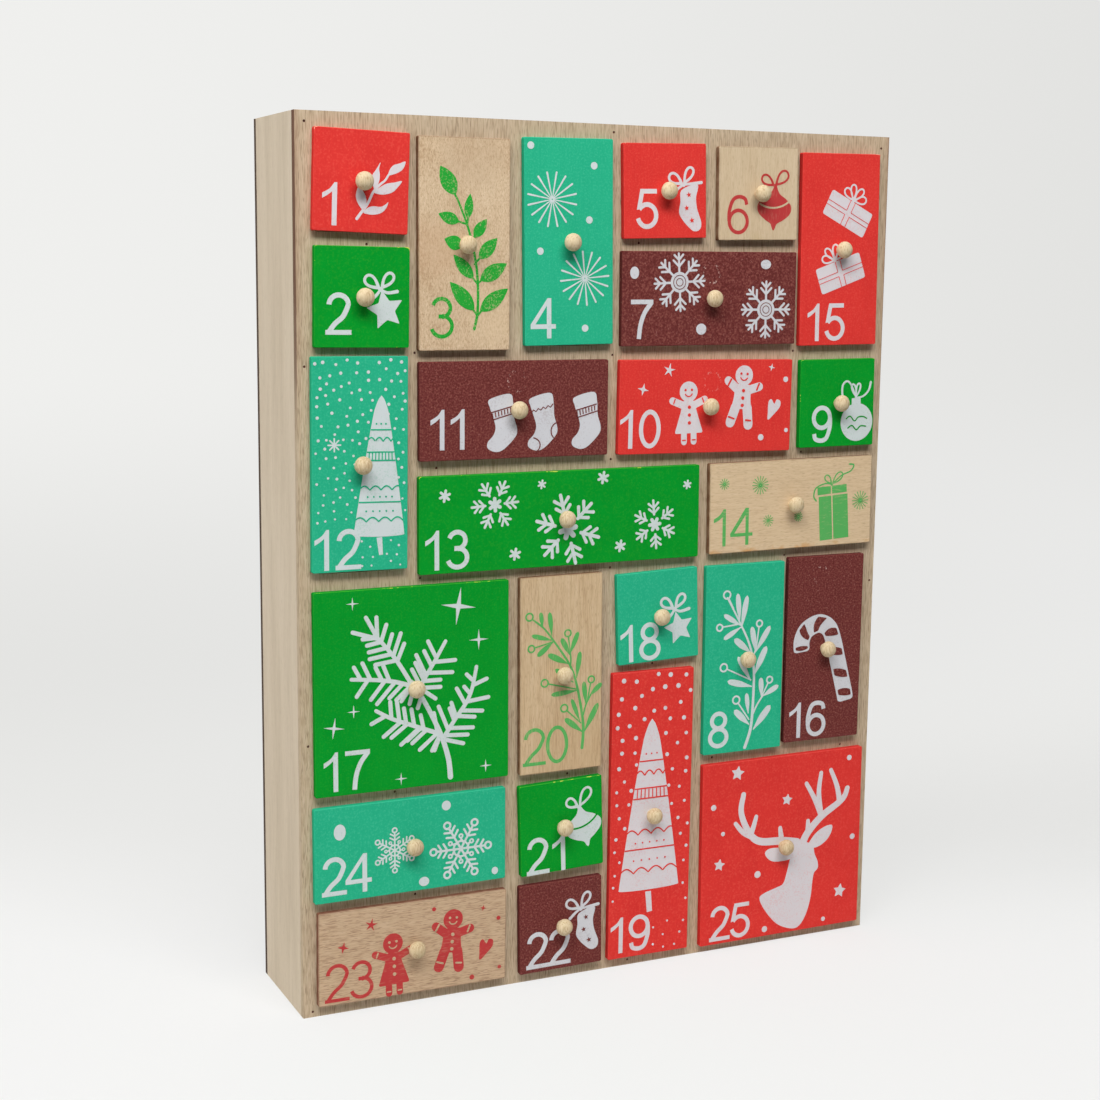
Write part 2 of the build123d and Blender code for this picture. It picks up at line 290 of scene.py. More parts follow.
# What is special on each bare front; patches are x, z, radius, colour and strength
bareFronts = {
    3: {"figure": (14, 22, 0.5), "fibre": (0.5, 1.4, 1.0), "dash": (0.45, 1.1, 0.5),
        "patches": [(-13, -2, 17, srgb(194, 158, 124), 0.4), (4, 40, 22, srgb(182, 156, 126), 0.35),
                    (12, -30, 18, srgb(218, 192, 156), 0.35)]},
    6: {"colours": [srgb(184, 158, 124), srgb(206, 184, 152), srgb(216, 196, 167)], "figure": (8, 70, 0.3),
        "fibre": (0.5, 7, 0.5), "dash": (0.45, 2.4, 0.2), "patches": [(0, -23, 6, srgb(190, 166, 122), 0.4)]},
    14: {"colours": [srgb(188, 157, 121), srgb(215, 189, 153), srgb(226, 203, 170)], "grain": "x",
         "figure": (5, 60, 0.1), "fibre": (0.4, 6, 0.5), "dash": (0.36, 3, 0.32), "stain": srgb(204, 148, 82)},
    20: {"colours": [srgb(174, 142, 106), srgb(205, 178, 141), srgb(216, 193, 159)], "figure": (8, 70, 0.35),
         "fibre": (0.5, 10, 0.7), "dash": (0.42, 3, 0.36), "patches": [(6, -40, 26, srgb(190, 158, 118), 0.35)]},
    23: {"colours": [srgb(152, 119, 91), srgb(196, 167, 136), srgb(210, 184, 154)], "grain": "x",
         "figure": (4, 70, 0.1), "fibre": (0.4, 7, 0.8), "dash": (0.36, 3.4, 0.62), "dashColour": srgb(134, 100, 76),
         "burnt": srgb(120, 76, 58)},
}
for number, special in bareFronts.items():
    bareFronts[number] = {**woods["bare"], **special}


def woodTone(f, here, wood, seed):  # the colour of bare wood, and how its surface rises and falls
    def streaks(kind, offset, *noise):  # noise along the grain, and how strongly it shows
        width, length, much = wood[kind]
        long = tuple(length / width if a == wood["grain"] else 1.0 for a in "xyz")
        return f.noise(here, width, long, seed + offset, *noise), much

    figure, figured = streaks("figure", 0, 3, 0.55, 0.4)
    fibre, fibrous = streaks("fibre", 11, 2, 0.6)
    dash, dashed = streaks("dash", 23, 1, 0.5)
    colour = f.ramp((0.5 + (figure - 0.5) * 2.0 * figured) + (fibre - 0.5) * 1.8 * fibrous, *wood["colours"])
    colour = f.mix(dash.step(0.56, 0.7) * dashed, colour, wood["dashColour"])
    return colour, fibre * 0.6 - dash * 0.4


sanded = {"rough": (0.74, 0.1), "specular": 0.18, "bump": (0.00014, 0.4)}


def closeWood(f, colour, relief):
    return f.matt(colour, relief, relief, sanded)


def woodFinish(name, kind, seed=0.0, **changes):
    f = Finish(name)
    return closeWood(f, *woodTone(f, f.place(), {**woods[kind], **changes}, seed))


bareEdge = {"ragged": 5.0, "stain": (0.6, 2.2), "stainPatch": 12, "side": (0.1, 0.5)}  # millimetres


def bareFinish(number):
    wood = bareFronts[number]
    middle, width, thick, height = frontPlace(number)
    f = Finish(f"bare_front_{number:02d}")
    here = f.place(middle, drawers[number]["tilt"])
    x, y, z = f.axes(here)
    depth = (y + thick / 2).most(0.0)
    colour, relief = woodTone(f, here, wood, number)
    ragged = f.noise(here, bareEdge["ragged"], seed=number, detail=3)
    for patchX, patchZ, radius, patchColour, much in wood.get("patches", ()):
        away = ((x - patchX) ** 2 + (z - patchZ) ** 2) ** 0.5 + (ragged - 0.5) * radius
        colour = f.mix((1.0 - away.step(0.3 * radius, 1.1 * radius)) * much, colour, patchColour)
    if "stain" in wood:  # glue along the lower edge
        low = 1.0 - (z + height / 2 + (ragged - 0.5) * 5.0).step(*bareEdge["stain"])
        patchy = f.noise(here, bareEdge["stainPatch"], seed=number + 3).step(0.42, 0.6)
        colour = f.mix(low * patchy * 0.8, colour, wood["stain"])
    inset = (width / 2 - abs(x)).least(height / 2 - abs(z)).most(0.0)
    colour = f.mix((1.0 - (inset + depth) * 1.6) * ragged * 1.1, colour, wood["burnt"])  # singed by the saw
    colour = f.mix(depth.step(*bareEdge["side"]) * (0.55 + 0.8 * ragged), colour, wood["burnt"])
    return closeWood(f, colour, relief)


halfWidth, halfHeight = 150, 200  # of the cabinet, in millimetres
knobStart = (-33.4, -33.1)  # in front of this everything in a tray's piece is knob
rims = {"face": srgb(64, 44, 34), "beside": srgb(150, 104, 78), "back": srgb(66, 50, 40)}
faceRim = {"high": (245, 330), "wave": 30, "swing": 60, "reach": 3.0}  # how high it turns dark, and how far in
# the brads are dark reddish-brown: their rusty steel, and painted shade for the pin holes they sit in
nails = {"face_brads": ("brad_steel", srgb(74, 42, 34), srgb(104, 54, 40)),
         "back_tacks": ("tack_steel", srgb(128, 122, 114), srgb(84, 70, 60))}


def onRim(way, half):  # 1 on a sheet's sawn edge
    return abs(way).step(half - 0.3, half - 0.05)


def faceFinish():  # the face sheet: its left and right edges are dark towards the top
    f = Finish("face_plywood")
    here = f.place()
    x, y, z = f.axes(here)
    colour, relief = woodTone(f, here, woods["face"], 0)
    wave = f.noise(here, faceRim["wave"], seed=3)
    high = (z + (wave - 0.5) * faceRim["swing"]).step(*faceRim["high"])
    # painted shade: a dark line on the sheet's left and right edges towards the top stands for the shade in the gap
    # beside the side boards, and a reddish darker band beside it darkens the same height
    colour = f.mix(onRim(x, halfWidth) * high * 0.95, colour, rims["face"])
    beside = 1.0 - (halfWidth - abs(x)).most(0.0).step(0.0, faceRim["reach"])
    return closeWood(f, f.mix(beside * high * 0.35, colour, rims["beside"]), relief)


def backFinish():  # hardboard with dark sawn edges
    f = Finish("back_hardboard")
    here = f.place()
    x, y, z = f.axes(here)
    colour, relief = woodTone(f, here, woods["back"], 5)
    edges = onRim(x, halfWidth).most(onRim(z - halfHeight, halfHeight))
    return closeWood(f, f.mix(edges * 0.9, colour, rims["back"]), relief)


def trayFinish():  # pale tray boards, and a paler turned knob in front of them
    f = Finish("tray_wood")
    here = f.place()
    colour, relief = woodTone(f, here, woods["tray"], 9)
    knob = woodTone(f, here, woods["knob"], 2)[0]
    isKnob = 1.0 - f.axes(here)[1].step(*knobStart)
    return closeWood(f, f.mix(isKnob, colour, knob), relief)


def nailFinish(name, colour, rust):
    f = Finish(name)
    spot = f.noise(f.place(), 0.9, detail=3)
    return f.close(Base_Color=f.mix(spot.step(0.35, 0.65), colour, rust), Roughness=0.5 + 0.3 * spot, Metallic=0.4)


inkCoat = {"grit": 0.75, "long": 5.0, "cloud": 9, "thin": (0.58, 0.8), "rough": (0.6, 0.1), "specular": 0.2,
           "bump": (0.00004, 0.3)}


def inkFinish(name, colour, under, worn, grain=None):  # screen print, thin enough to show what is under it
    f = Finish(name)
    here = f.place()
    long = tuple(inkCoat["long"] if a == grain else 1.0 for a in "xyz")
    grit = f.noise(here, inkCoat["grit"], long, 4, 2, 0.6)
    cloud = f.noise(here, inkCoat["cloud"], seed=6)
    thin = (grit * 0.8 + cloud * 0.35).step(*inkCoat["thin"]) * worn
    return f.matt(f.mix(thin, colour, under), grit, grit, inkCoat)


def dress(node, material):
    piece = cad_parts[node]
    piece.data.materials.clear()
    piece.data.materials.append(material)


frontFinish = {}
for number, drawer in drawers.items():
    frontFinish[number] = bareFinish(number) if drawer["finish"] == "bare" else paintFinish(number)
    dress(f"drawer_{number:02d}_front", frontFinish[number])

trayWood = trayFinish()
for number in drawers:
    dress(f"drawer_{number:02d}_tray_and_knob", trayWood)
dress("face_sheet", faceFinish())
dress("back_panel", backFinish())
sideWood = woodFinish("side_wood", "side")
boardWood = woodFinish("board_wood", "board")
for node in ("left_side_board", "right_side_board"):
    dress(node, sideWood)
for node in ("top_board", "bottom_board", "shelves"):
    dress(node, boardWood)
dress("partitions", woodFinish("partition_wood", "board", 4, grain="z"))
for node, tones in nails.items():
    dress(node, nailFinish(*tones))
print("materials:", len(bpy.data.materials))


# Flat outlines for the prints, in millimetres. A shape is a list of closed loops: an outline and its holes.

def arc(cx, cy, rx, ry, start, end, steps=16):
    turns = [radians(start + (end - start) * i / steps) for i in range(steps + 1)]
    return [(cx + rx * cos(a), cy + ry * sin(a)) for a in turns]


def oval(cx, cy, rx, ry, steps=18):
    return arc(cx, cy, rx, ry, 0, 360, steps)[:-1]


def disc(cx, cy, r, steps=18):
    return oval(cx, cy, r, r, steps)


def through(points, closed=False, steps=6):  # a smooth line through a few points
    count = len(points)
    line = []
    for i in range(count if closed else count - 1):
        near = [points[k % count] if closed else points[min(max(k, 0), count - 1)] for k in range(i - 1, i + 3)]
        for s in range(steps):
            t = s / steps
            weights = (-t + 2 * t**2 - t**3, 2 - 5 * t**2 + 3 * t**3, t + 4 * t**2 - 3 * t**3, t**3 - t**2)
            line.append(tuple(sum(w * p[axis] for w, p in zip(weights, near)) / 2 for axis in (0, 1)))
    return line if closed else line + [points[-1]]


def sleeve(line, half, ends=True):  # outline round a line; half is a number or depends on the way along
    wide = half if callable(half) else lambda t: half
    last = len(line) - 1
    left, right = [], []
    for i, (x, y) in enumerate(line):
        (ax, ay), (bx, by) = line[max(i - 1, 0)], line[min(i + 1, last)]
        away = wide(i / last) / hypot(bx - ax, by - ay)
        left.append((x - (by - ay) * away, y + (bx - ax) * away))
        right.append((x + (by - ay) * away, y - (bx - ax) * away))

    def cap(i, j):
        angle = degrees(atan2(line[j][1] - line[i][1], line[j][0] - line[i][0]))
        return arc(*line[j], wide(j / last), wide(j / last), angle + 90, angle - 90, 6)[1:-1]

    if not ends:
        return left + right[::-1]
    return left + cap(last - 1, last) + right[::-1] + cap(1, 0)


def softened(loop, radius):  # a loop with its corners rounded off
    soft = []
    for i, (x, y) in enumerate(loop):
        sides = []
        for nx, ny in (loop[i - 1], loop[(i + 1) % len(loop)]):
            reach = min(radius / hypot(nx - x, ny - y), 0.5)
            sides.append((x + (nx - x) * reach, y + (ny - y) * reach))
        (ax, ay), (bx, by) = sides
        for t in (0, 0.25, 0.5, 0.75, 1):
            before, at, after = (1 - t)**2, 2 * t * (1 - t), t**2
            soft.append((ax * before + x * at + bx * after, ay * before + y * at + by * after))
    return soft


def moved(shapes, x=0, y=0, turn=0):
    c, s = cos(radians(turn)), sin(radians(turn))
    return [[[(x + px * c - py * s, y + px * s + py * c) for px, py in loop] for loop in shape] for shape in shapes]


def box(x0, y0, x1, y1):
    return [(x0, y0), (x1, y0), (x1, y1), (x0, y1)]


def ringShape(cx, cy, rx, ry, line):
    return [oval(cx, cy, rx + off, ry + off, 32) for off in (line / 2, -line / 2)]


def starLoop(points, outer, inner, turn=90):
    turns = [radians(turn + 180 * i / points) for i in range(2 * points)]
    return [((inner if i % 2 else outer) * cos(a), (inner if i % 2 else outer) * sin(a)) for i, a in enumerate(turns)]


def straight(x0, y0, x1, y1, steps=14):
    return [(x0 + (x1 - x0) * i / steps, y0 + (y1 - y0) * i / steps) for i in range(steps + 1)]


def leafLoop(x0, y0, x1, y1, width):  # pointed at both ends
    def half(t):
        return width / 2 * sin(pi * min(max(t, 0.004), 0.996)**0.85)**0.85

    return sleeve(straight(x0, y0, x1, y1), half, False)


def paddleLoop(x0, y0, x1, y1, width):  # narrow where it grows, round at its end
    def half(t):
        grown = 0.16 + 0.84 * sin(pi / 2 * min(t / 0.62, 1))**1.4
        return max(width / 2 * grown * sqrt(max(1 - t**8, 0)), 0.02)

    return sleeve(straight(x0, y0, x1, y1), half, False)


def tearLoop(length, width, start=0.0):  # a ribbon's loop, from its knot
    turns = [2 * pi * i / 22 for i in range(22)]
    return [(start + length * (1 - cos(a)) / 2, width * 0.65 * sin(a) * sin(a / 2)) for a in turns]


# Numerals

numeralSettings = {"height": 18.0, "pitch": 11.5, "closer": 1.9, "left": {"1": 2.74, "2": 0.8, "4": 0.4, "rest": 1.1},
                   "bareLine": 1.75, "paintLine": 2.2}


def digit(figure, line):
    h, top = line / 2, numeralSettings["height"]
    bar, roof = line * 0.93, top - line * 0.95
    if figure == "0":
        return [ringShape(6.85, 9, 5.75 - h, 9.1 - h, line)]
    if figure == "1":
        left = through([(8.1, top), (6.0, 15.3), (2.74, 13.4)])
        back = through([(2.74, 13.4 - line), (5.0, 12.5), (9.35 - line, 14.2)])
        return [[[(9.35, 0), (9.35, top)] + left + back + [(9.35 - line, 0)]]]
    if figure == "2":
        neck = through([(11.4 - h + 0.2, 11.3), (8.6, 7.7), (5.0, 4.6), (2.4, 1.2)])
        hook = arc(6.75, 12.7, 4.85 - h + 0.6, 5.3 - h, 178, 5)
        return [[sleeve(hook + neck, h, False)], [box(0.8, 0, 12.5, bar)]]
    if figure == "3":
        upper = arc(6.6, 13.6 - h / 2, 5.05 - h, 4.9 - h, 163, -88)
        lower = arc(6.7, 5.2, 5.75 - h, 5.4 - h, 88, -165)
        return [[sleeve(upper, h, False)], [sleeve(lower, h, False)], [box(5.2, 9.45 - h, 7.0, 9.45 + h)]]
    if figure == "4":
        post, low, high = 10.6 - line, 4.3, 4.3 + bar
        outer = [(post, 0), (10.6, 0), (10.6, low), (12.8, low), (12.8, high), (10.6, high), (10.6, top), (8.8, top),
                 (0.4, high), (0.4, low), (post, low)]
        return [[outer, [(post, high), (post, 14.6), (2.3 + line * 0.2, high)]]]
    if figure == "5":
        bowl = arc(6.75, 6.0, 5.85 - h, 6.1 - h, 146, -166, 22)
        back = [(1.5, 8.6), (1.5 + line, 9.0), (3.4 + line, top), (3.4, top)]
        return [[box(3.5, roof, 11.9, top)], [back], [sleeve(bowl, h, False)]]
    if figure in "69":
        back = through([(12.3 - h, 13.6), (10.4, 17.2 - h), (7.1, 18.1 - h), (3.6 + h * 0.4, 15.6), (1.15 + h, 10.4),
                        (1.05 + h, 6.0)])
        shapes = [ringShape(6.95, 5.85, 5.75 - h, 6.0 - h, line), [sleeve(back, h, False)]]
        return shapes if figure == "6" else moved(shapes, 13.7, top, 180)
    if figure == "7":
        leg = through([(11.9, 16.6), (8.4, 12.0), (6.3, 6.4), (5.5, 0)])
        return [[box(1.2, roof, 12.8, top)], [sleeve(leg, h, False)]]
    return [ringShape(6.85, 13.45, 4.85 - h, 4.75 - h, line), ringShape(6.85, 5.1, 5.75 - h, 5.35 - h, line)]


def numeral(number, line):
    shapes = []
    place = 0.0
    text = str(number)
    left = numeralSettings["left"]
    for i, figure in enumerate(text):
        if text[i - 1:i + 1] == "11":
            place -= numeralSettings["closer"]
        shapes += moved(digit(figure, line), place - left.get(text[0], left["rest"]))
        place += numeralSettings["pitch"]
    return moved(shapes, *drawers[number]["number"])


# Ornaments

def strokes(lines, half, ends=True):
    return [[sleeve(line, half, ends)] for line in lines]


def dots(places, steps=18):  # each place: x, y and radius
    return [[disc(*place, steps)] for place in places]


def star(x, y, points, outer, inner, soft, turn=0):
    return moved([[softened(starLoop(points, outer, inner), soft)]], x, y, turn)


def sprig(stem, leaves, line):  # leaves: base, tip and width, with a stalk back to the stem
    shapes = [[sleeve(through(stem), lambda t: line * (0.6 - 0.2 * t))]]
    for x0, y0, x1, y1, width, *stalk in leaves:
        shapes.append([leafLoop(x0, y0, x1, y1, width)])
        if stalk:
            shapes.append([sleeve([tuple(stalk), (x0 + (x1 - x0) * 0.1, y0 + (y1 - y0) * 0.1)], line * 0.38)])
    return shapes


def burst(x, y, rays, r, half, turn=0.0, start=0.0, thin=1.0):  # thin: how wide a ray is where it starts
    shapes = []
    for a in [radians(turn + 360 * i / rays) for i in range(rays)]:
        ray = [(start * cos(a), start * sin(a)), (r * cos(a), r * sin(a))]
        shapes.append([sleeve(ray, lambda t: half * (thin + (1 - thin) * t))])
    return moved(shapes, x, y)


def bow(x, y, loops, tails, line):  # loops: direction, length and width
    shapes = []
    for turn, length, width in loops:
        hole = tearLoop(length - 3.0 * line, width - 2 * line, 2.0 * line)
        shapes += moved([[tearLoop(length, width), hole]], turn=turn)
    shapes += strokes([through([(0, 0)] + tail) for tail in tails], lambda t: line * (0.42 + 0.2 * t))
    return moved(shapes + dots([(0, 0, line * 0.9)]), x, y)


def boughNeedles(line, tips, half):  # a twig, and needles that leave it at about 60 degrees for their tips
    shapes = [[sleeve(line, lambda t: half * (1.1 - 0.2 * t))]]
    for x, y in tips:
        reach = [hypot(x - u, y - v) for u, v in line]
        k = reach.index(min(reach))
        while k > 0 and reach[k] < 1.15 * min(reach):
            k -= 1
        shapes.append([sleeve([line[k], (x, y)], half)])
    return shapes


def branchedFlake(r, half):  # eight arms with two pairs of twigs, and a disc
    arms = []
    for i in range(8):
        arm = [[sleeve([(0.25 * r, 0), (r, 0)], half)]]
        for at, reach in ((0.55, 0.3), (0.78, 0.24)):
            for side in (-1, 1):
                tip = (r * (at + reach * 0.72), side * r * reach * 0.72)
                arm.append([sleeve([(at * r, 0), tip], half)])
        arms += moved(arm, turn=90 + 45 * i)
    return arms + [[disc(0, 0, 0.36 * r, 28)]]


def arrowFlake(r, half):  # six loose feathered arms round a six-pointed star
    arms = []
    for i in range(6):
        arm = [[sleeve([(0.42 * r, 0), (r, 0)], half)]]
        for at in (0.46, 0.68):
            arm.append([sleeve([(r * (at + 0.2), 0.22 * r), (at * r, 0), (r * (at + 0.2), -0.22 * r)], half)])
        arms += moved(arm, turn=60 * i)
    return arms + burst(0, 0, 6, 0.24 * r, 0.075 * r, 30)


def ringFlake(r, half):  # six arms that end in rings, with small rings between them
    shapes = []
    for i in range(6):
        arm = [[sleeve([(0, 0), (0.8 * r, 0)], half)], ringShape(0.89 * r, 0, 0.1 * r, 0.1 * r, 2 * half)]
        for at, reach in ((0.44, 0.21), (0.62, 0.19)):
            for side in (-1, 1):
                arm.append([sleeve([(at * r, 0), (r * (at + reach * 0.62), side * r * reach)], half)])
        arm.append([sleeve([(0.2 * r, 0), (0.3 * r * cos(0.5), 0.3 * r * sin(0.5))], half)])
        arm.append(ringShape(0.4 * r * cos(pi / 6), 0.4 * r * sin(pi / 6), 0.055 * r, 0.055 * r, 1.6 * half))
        shapes += moved(arm, turn=60 * i)
    return shapes + [ringShape(0, 0, 0.24 * r, 0.24 * r, 1.8 * half)]


def twigs(stem, leaves, berries, line):  # mistletoe: leaves with base, tip and width; berries with stalk and place
    shapes = [[sleeve(through(stem), lambda t: line * (0.85 - 0.45 * t))]]
    shapes += [[paddleLoop(*leaf)] for leaf in leaves]
    for x0, y0, x1, y1, r in berries:
        reach = 1 - r / hypot(x1 - x0, y1 - y0)
        shapes.append([sleeve([(x0, y0), (x0 + (x1 - x0) * reach, y0 + (y1 - y0) * reach)], line * 0.36)])
        shapes.append(ringShape(x1, y1, r, r, line * 0.85))
    return shapes


def gingerbread(skirt):  # a biscuit figure about 30 high, and the lines of its icing
    ink = [[disc(0, 10.2, 4.8, 28)]]
    lines = dots([(-1.7, 11.0, 0.62), (1.7, 11.0, 0.62)], 10) + strokes([arc(0, 9.9, 2.0, 2.0, 205, 335, 8)], 0.28)
    if skirt:
        ink.append([softened([(-3.0, 6.0), (3.0, 6.0), (4.2, 1.0), (7.6, -9.4), (-7.6, -9.4), (-4.2, 1.0)], 1.2)])
        ink += strokes([[(-2.4, 3.6), (-8.6, 6.2)], [(2.4, 3.6), (8.6, 6.2)]], 1.75)
        ink += strokes([[(-2.6, -8), (-2.6, -13.4)], [(2.6, -8), (2.6, -13.4)]], 1.55)
        cuffs = [[(-8.1, 4.8), (-7.3, 6.9)], [(8.1, 4.8), (7.3, 6.9)], [(-3.4, -12.6), (-1.8, -12.6)],
                 [(1.8, -12.6), (3.4, -12.6)]]
        lines += strokes(cuffs, 0.3)
        buttons = (2.9, -0.8, -4.5)
    else:
        body = [(-4.2, 6.0), (4.2, 6.0), (4.6, -1.0), (6.0, -8.0), (0, -5.4), (-6.0, -8.0), (-4.6, -1.0)]
        ink.append([softened(body, 1.6)])
        ink += strokes([[(-3.0, 3.4), (-8.4, 7.2)], [(3.0, 3.4), (8.8, 5.4)]], 2.1)
        ink += strokes([[(-3.2, -5.0), (-5.4, -12.4)], [(3.2, -5.0), (4.6, -13.0)]], 2.5)
        cuffs = [[(-8.4, 4.9), (-6.9, 8.0)], [(7.6, 3.8), (8.6, 6.8)], [(-6.6, -9.8), (-3.6, -10.6)],
                 [(3.0, -10.9), (5.6, -11.0)]]
        lines += strokes(cuffs, 0.42)
        buttons = (3.0, -0.5, -4.0)
    return ink, lines + dots([(0.3, y, 0.85) for y in buttons], 12)


def stocking():  # about 26 high, its toe to the left
    outline = [(-5.6, 10.6), (4.2, 13.0), (6.0, 8.6), (6.4, 2.6), (8.0, -3.0), (7.0, -6.6), (1.6, -11.8), (-2.4, -13.0),
               (-6.2, -11.4), (-6.4, -8.6), (-3.6, -5.4), (-2.6, -1.6), (-4.2, 3.6), (-5.4, 7.0)]
    return [[through(outline, True)]]


def firTree(height, base, top):  # a banded fir; returns its ink and the lines across it
    def half(y):
        t = (height - y) / height
        return top * min(t * 9, 1)**0.5 + (base - top) * t**0.85

    levels = [height * i / 40 for i in range(40)]
    crown = [(half(y), y) for y in levels] + [(0, height)] + [(-half(y), y) for y in levels[::-1]]
    ink = [[crown + arc(0, 0, half(0), 1.0, 180, 360, 12)[1:-1]]]
    lines = []
    for share in (0.755, 0.595, 0.535, 0.235):  # straight lines
        y = height * share
        lines += strokes([[(-half(y) + 0.1, y), (half(y) - 0.1, y)]], 0.3, False)
    for share, bumps in ((0.672, 3.1), (0.322, 3.5), (0.094, 3.8)):  # scallops
        y, steps = height * share, 72
        wide, tall = half(y), (0.012 + 0.005 * bumps) * height
        lines += strokes([[(-wide + 2 * wide * i / steps, y + tall * abs(sin(pi * bumps * i / steps + 0.5)))
                           for i in range(steps + 1)]], 0.3, False)
    for share, count in ((0.797, 3), (0.273, 5), (0.17, 5)):  # dots
        y = height * share
        lines += dots([(half(y) * 1.5 * ((i + 0.5) / count - 0.5), y, 0.42) for i in range(count)], 10)
    low, high = height * 0.54, height * 0.59
    wide = half(low)
    for i in range(1, 9):  # hatching
        lines += strokes([[(-wide + 2 * wide * i / 9, low), (-wide * 0.97 + 1.94 * wide * i / 9, high)]], 0.22, False)
    return ink, lines


def snowDots(seed, width, height, count, r, swell, gap, keepOff):  # scattered dots, clear of each other and the rest
    pick = random.Random(seed)
    places = []
    for _ in range(count * 40):
        x, y = pick.uniform(-width, width), pick.uniform(-height, height)
        size = (r + swell * y) * pick.uniform(0.85, 1.1)
        if len(places) < count and not keepOff(x, y) and all(hypot(x - u, y - v) > gap for u, v, _ in places):
            places.append((x, y, size))
    return dots(places, 12)


def gift(width, height):  # a wrapped box and the lines of its ribbon
    right, top, across, up = width / 2, height / 2, 1.1, 1.4
    lines = []
    for side in (-1, 1):
        y, x = side * across, side * up
        level = [[(-right, y), (-up, y)], [(up, y), (right, y)]]
        upright = [[(x, -top), (x, -across)], [(x, across), (x, top)]]
        lines += strokes(level + upright, 0.14, False)
    return [[softened(box(-right, -top, right, top), 1.2)]], lines


def onionBauble():  # about 20 high
    right = through([(0.9, 10.4), (0.9, 9.6), (2.6, 6.6), (6.4, 4.2), (9.2, 1.0), (8.6, -2.6), (5.0, -5.6), (1.8, -7.4),
                     (0.7, -9.8), (0, -10.6)])
    return [[right + [(-x, y) for x, y in right[::-1]]]]


def candyCane(line, half, stripes, edge, corner):  # ink, and the gaps between its stripes: place, width and slant
    lengths = [0.0]
    for (ax, ay), (bx, by) in zip(line, line[1:]):
        lengths.append(lengths[-1] + hypot(bx - ax, by - ay))

    def at(s, off):
        s = min(max(s, 0.0), lengths[-1] - 1e-6)
        k = max(i for i, value in enumerate(lengths[:-1]) if value <= s)
        (ax, ay), (bx, by) = line[k], line[k + 1]
        step = lengths[k + 1] - lengths[k]
        t = (s - lengths[k]) / step
        return ax + (bx - ax) * t - (by - ay) / step * off, ay + (by - ay) * t + (bx - ax) / step * off

    def wide(t):  # rounded at both ends
        short = max(corner - min(t, 1 - t) * lengths[-1], 0.0)
        return half - corner + sqrt(corner**2 - short**2) + 0.01

    gaps = []
    room = half - edge
    for middle, width, slant in stripes:
        start, end = middle - (width + slant) / 2, middle + (width - slant) / 2
        tilted = [(start + slant * i / 6 - 0.7 * sin(pi * i / 6), room * (i / 3 - 1)) for i in range(7)]
        back = [(end + slant * i / 6 + 0.5 * sin(pi * i / 6), room * (i / 3 - 1)) for i in range(6, -1, -1)]
        gaps.append([softened([at(s, off) for s, off in tilted + back], 0.5)])
    return strokes([[at(lengths[-1] * i / 160, 0) for i in range(161)]], wide, False), gaps


def antler(line, tines, half=2.0):
    shapes = [[sleeve(through(line), lambda t: half * (1.1 - 0.4 * t))]]
    return shapes + strokes([through(tine) for tine in tines], lambda t: half * (0.8 - 0.25 * t))


# Each print: shapes in ink, and lines in the colour of the front that cross the ink. Motifs that come twice have
# their settings here
stockings = {5: (0, 0), 22: (0.9, 3.6)}
baubles = {
    6: {"place": (8.6, -6.5), "turn": -3, "bow": (8.8, 3.7), "line": 1.0,
        "loops": [(149, 8.6, 5.2), (43, 9.8, 5.8)]},
    21: {"place": (11.5, -1.9), "turn": 12, "bow": (9.2, 7.7), "line": 1.15,
         "loops": [(148, 8.0, 5.4), (58, 11.0, 5.8)]},
}
figures = {
    10: {"skirt": (-9.8, -3.2), "plain": (19.1, 4.2), "heart": (36.8, -1.9),
         "stars": [(-20.8, 17.1, 3.4, 5), (-34.3, 8.2, 3.0, 4), (34.9, 18.2, 1.9, 4)],
         "dots": [(43.0, 12.4, 1.35), (44.2, -12.1, 1.05), (30.1, -15.3, 1.55)]},
    23: {"skirt": (-10.1, -6.9), "plain": (18.4, 0.5), "heart": (35.6, -6.0),
         "stars": [(-20.9, 13.6, 3.2, 5), (-34.2, 4.6, 2.8, 4), (34.1, 14.1, 1.6, 4)],
         "dots": [(9.6, 16.8, 1.0), (41.9, 8.2, 1.0), (28.7, -18.8, 1.2), (42.6, -15.8, 0.9)]},
}
hangingStars = {
    2: {"place": (10.5, -5.4), "size": (8.8, 4.3), "bow": (8.2, 3.4), "loops": [(143, 9.2, 5.6), (51, 9.2, 5.2)],
        "tail": [(3.2, -1.4), (7.6, -0.8)], "line": 1.25},
    18: {"place": (11.0, -6.9), "size": (8.2, 4.0), "bow": (8.8, 2.2), "loops": [(143, 9.2, 5.6), (53, 9.2, 5.2)],
         "tail": [(3.2, -1.2), (7.8, -0.4)], "line": 1.3},
}


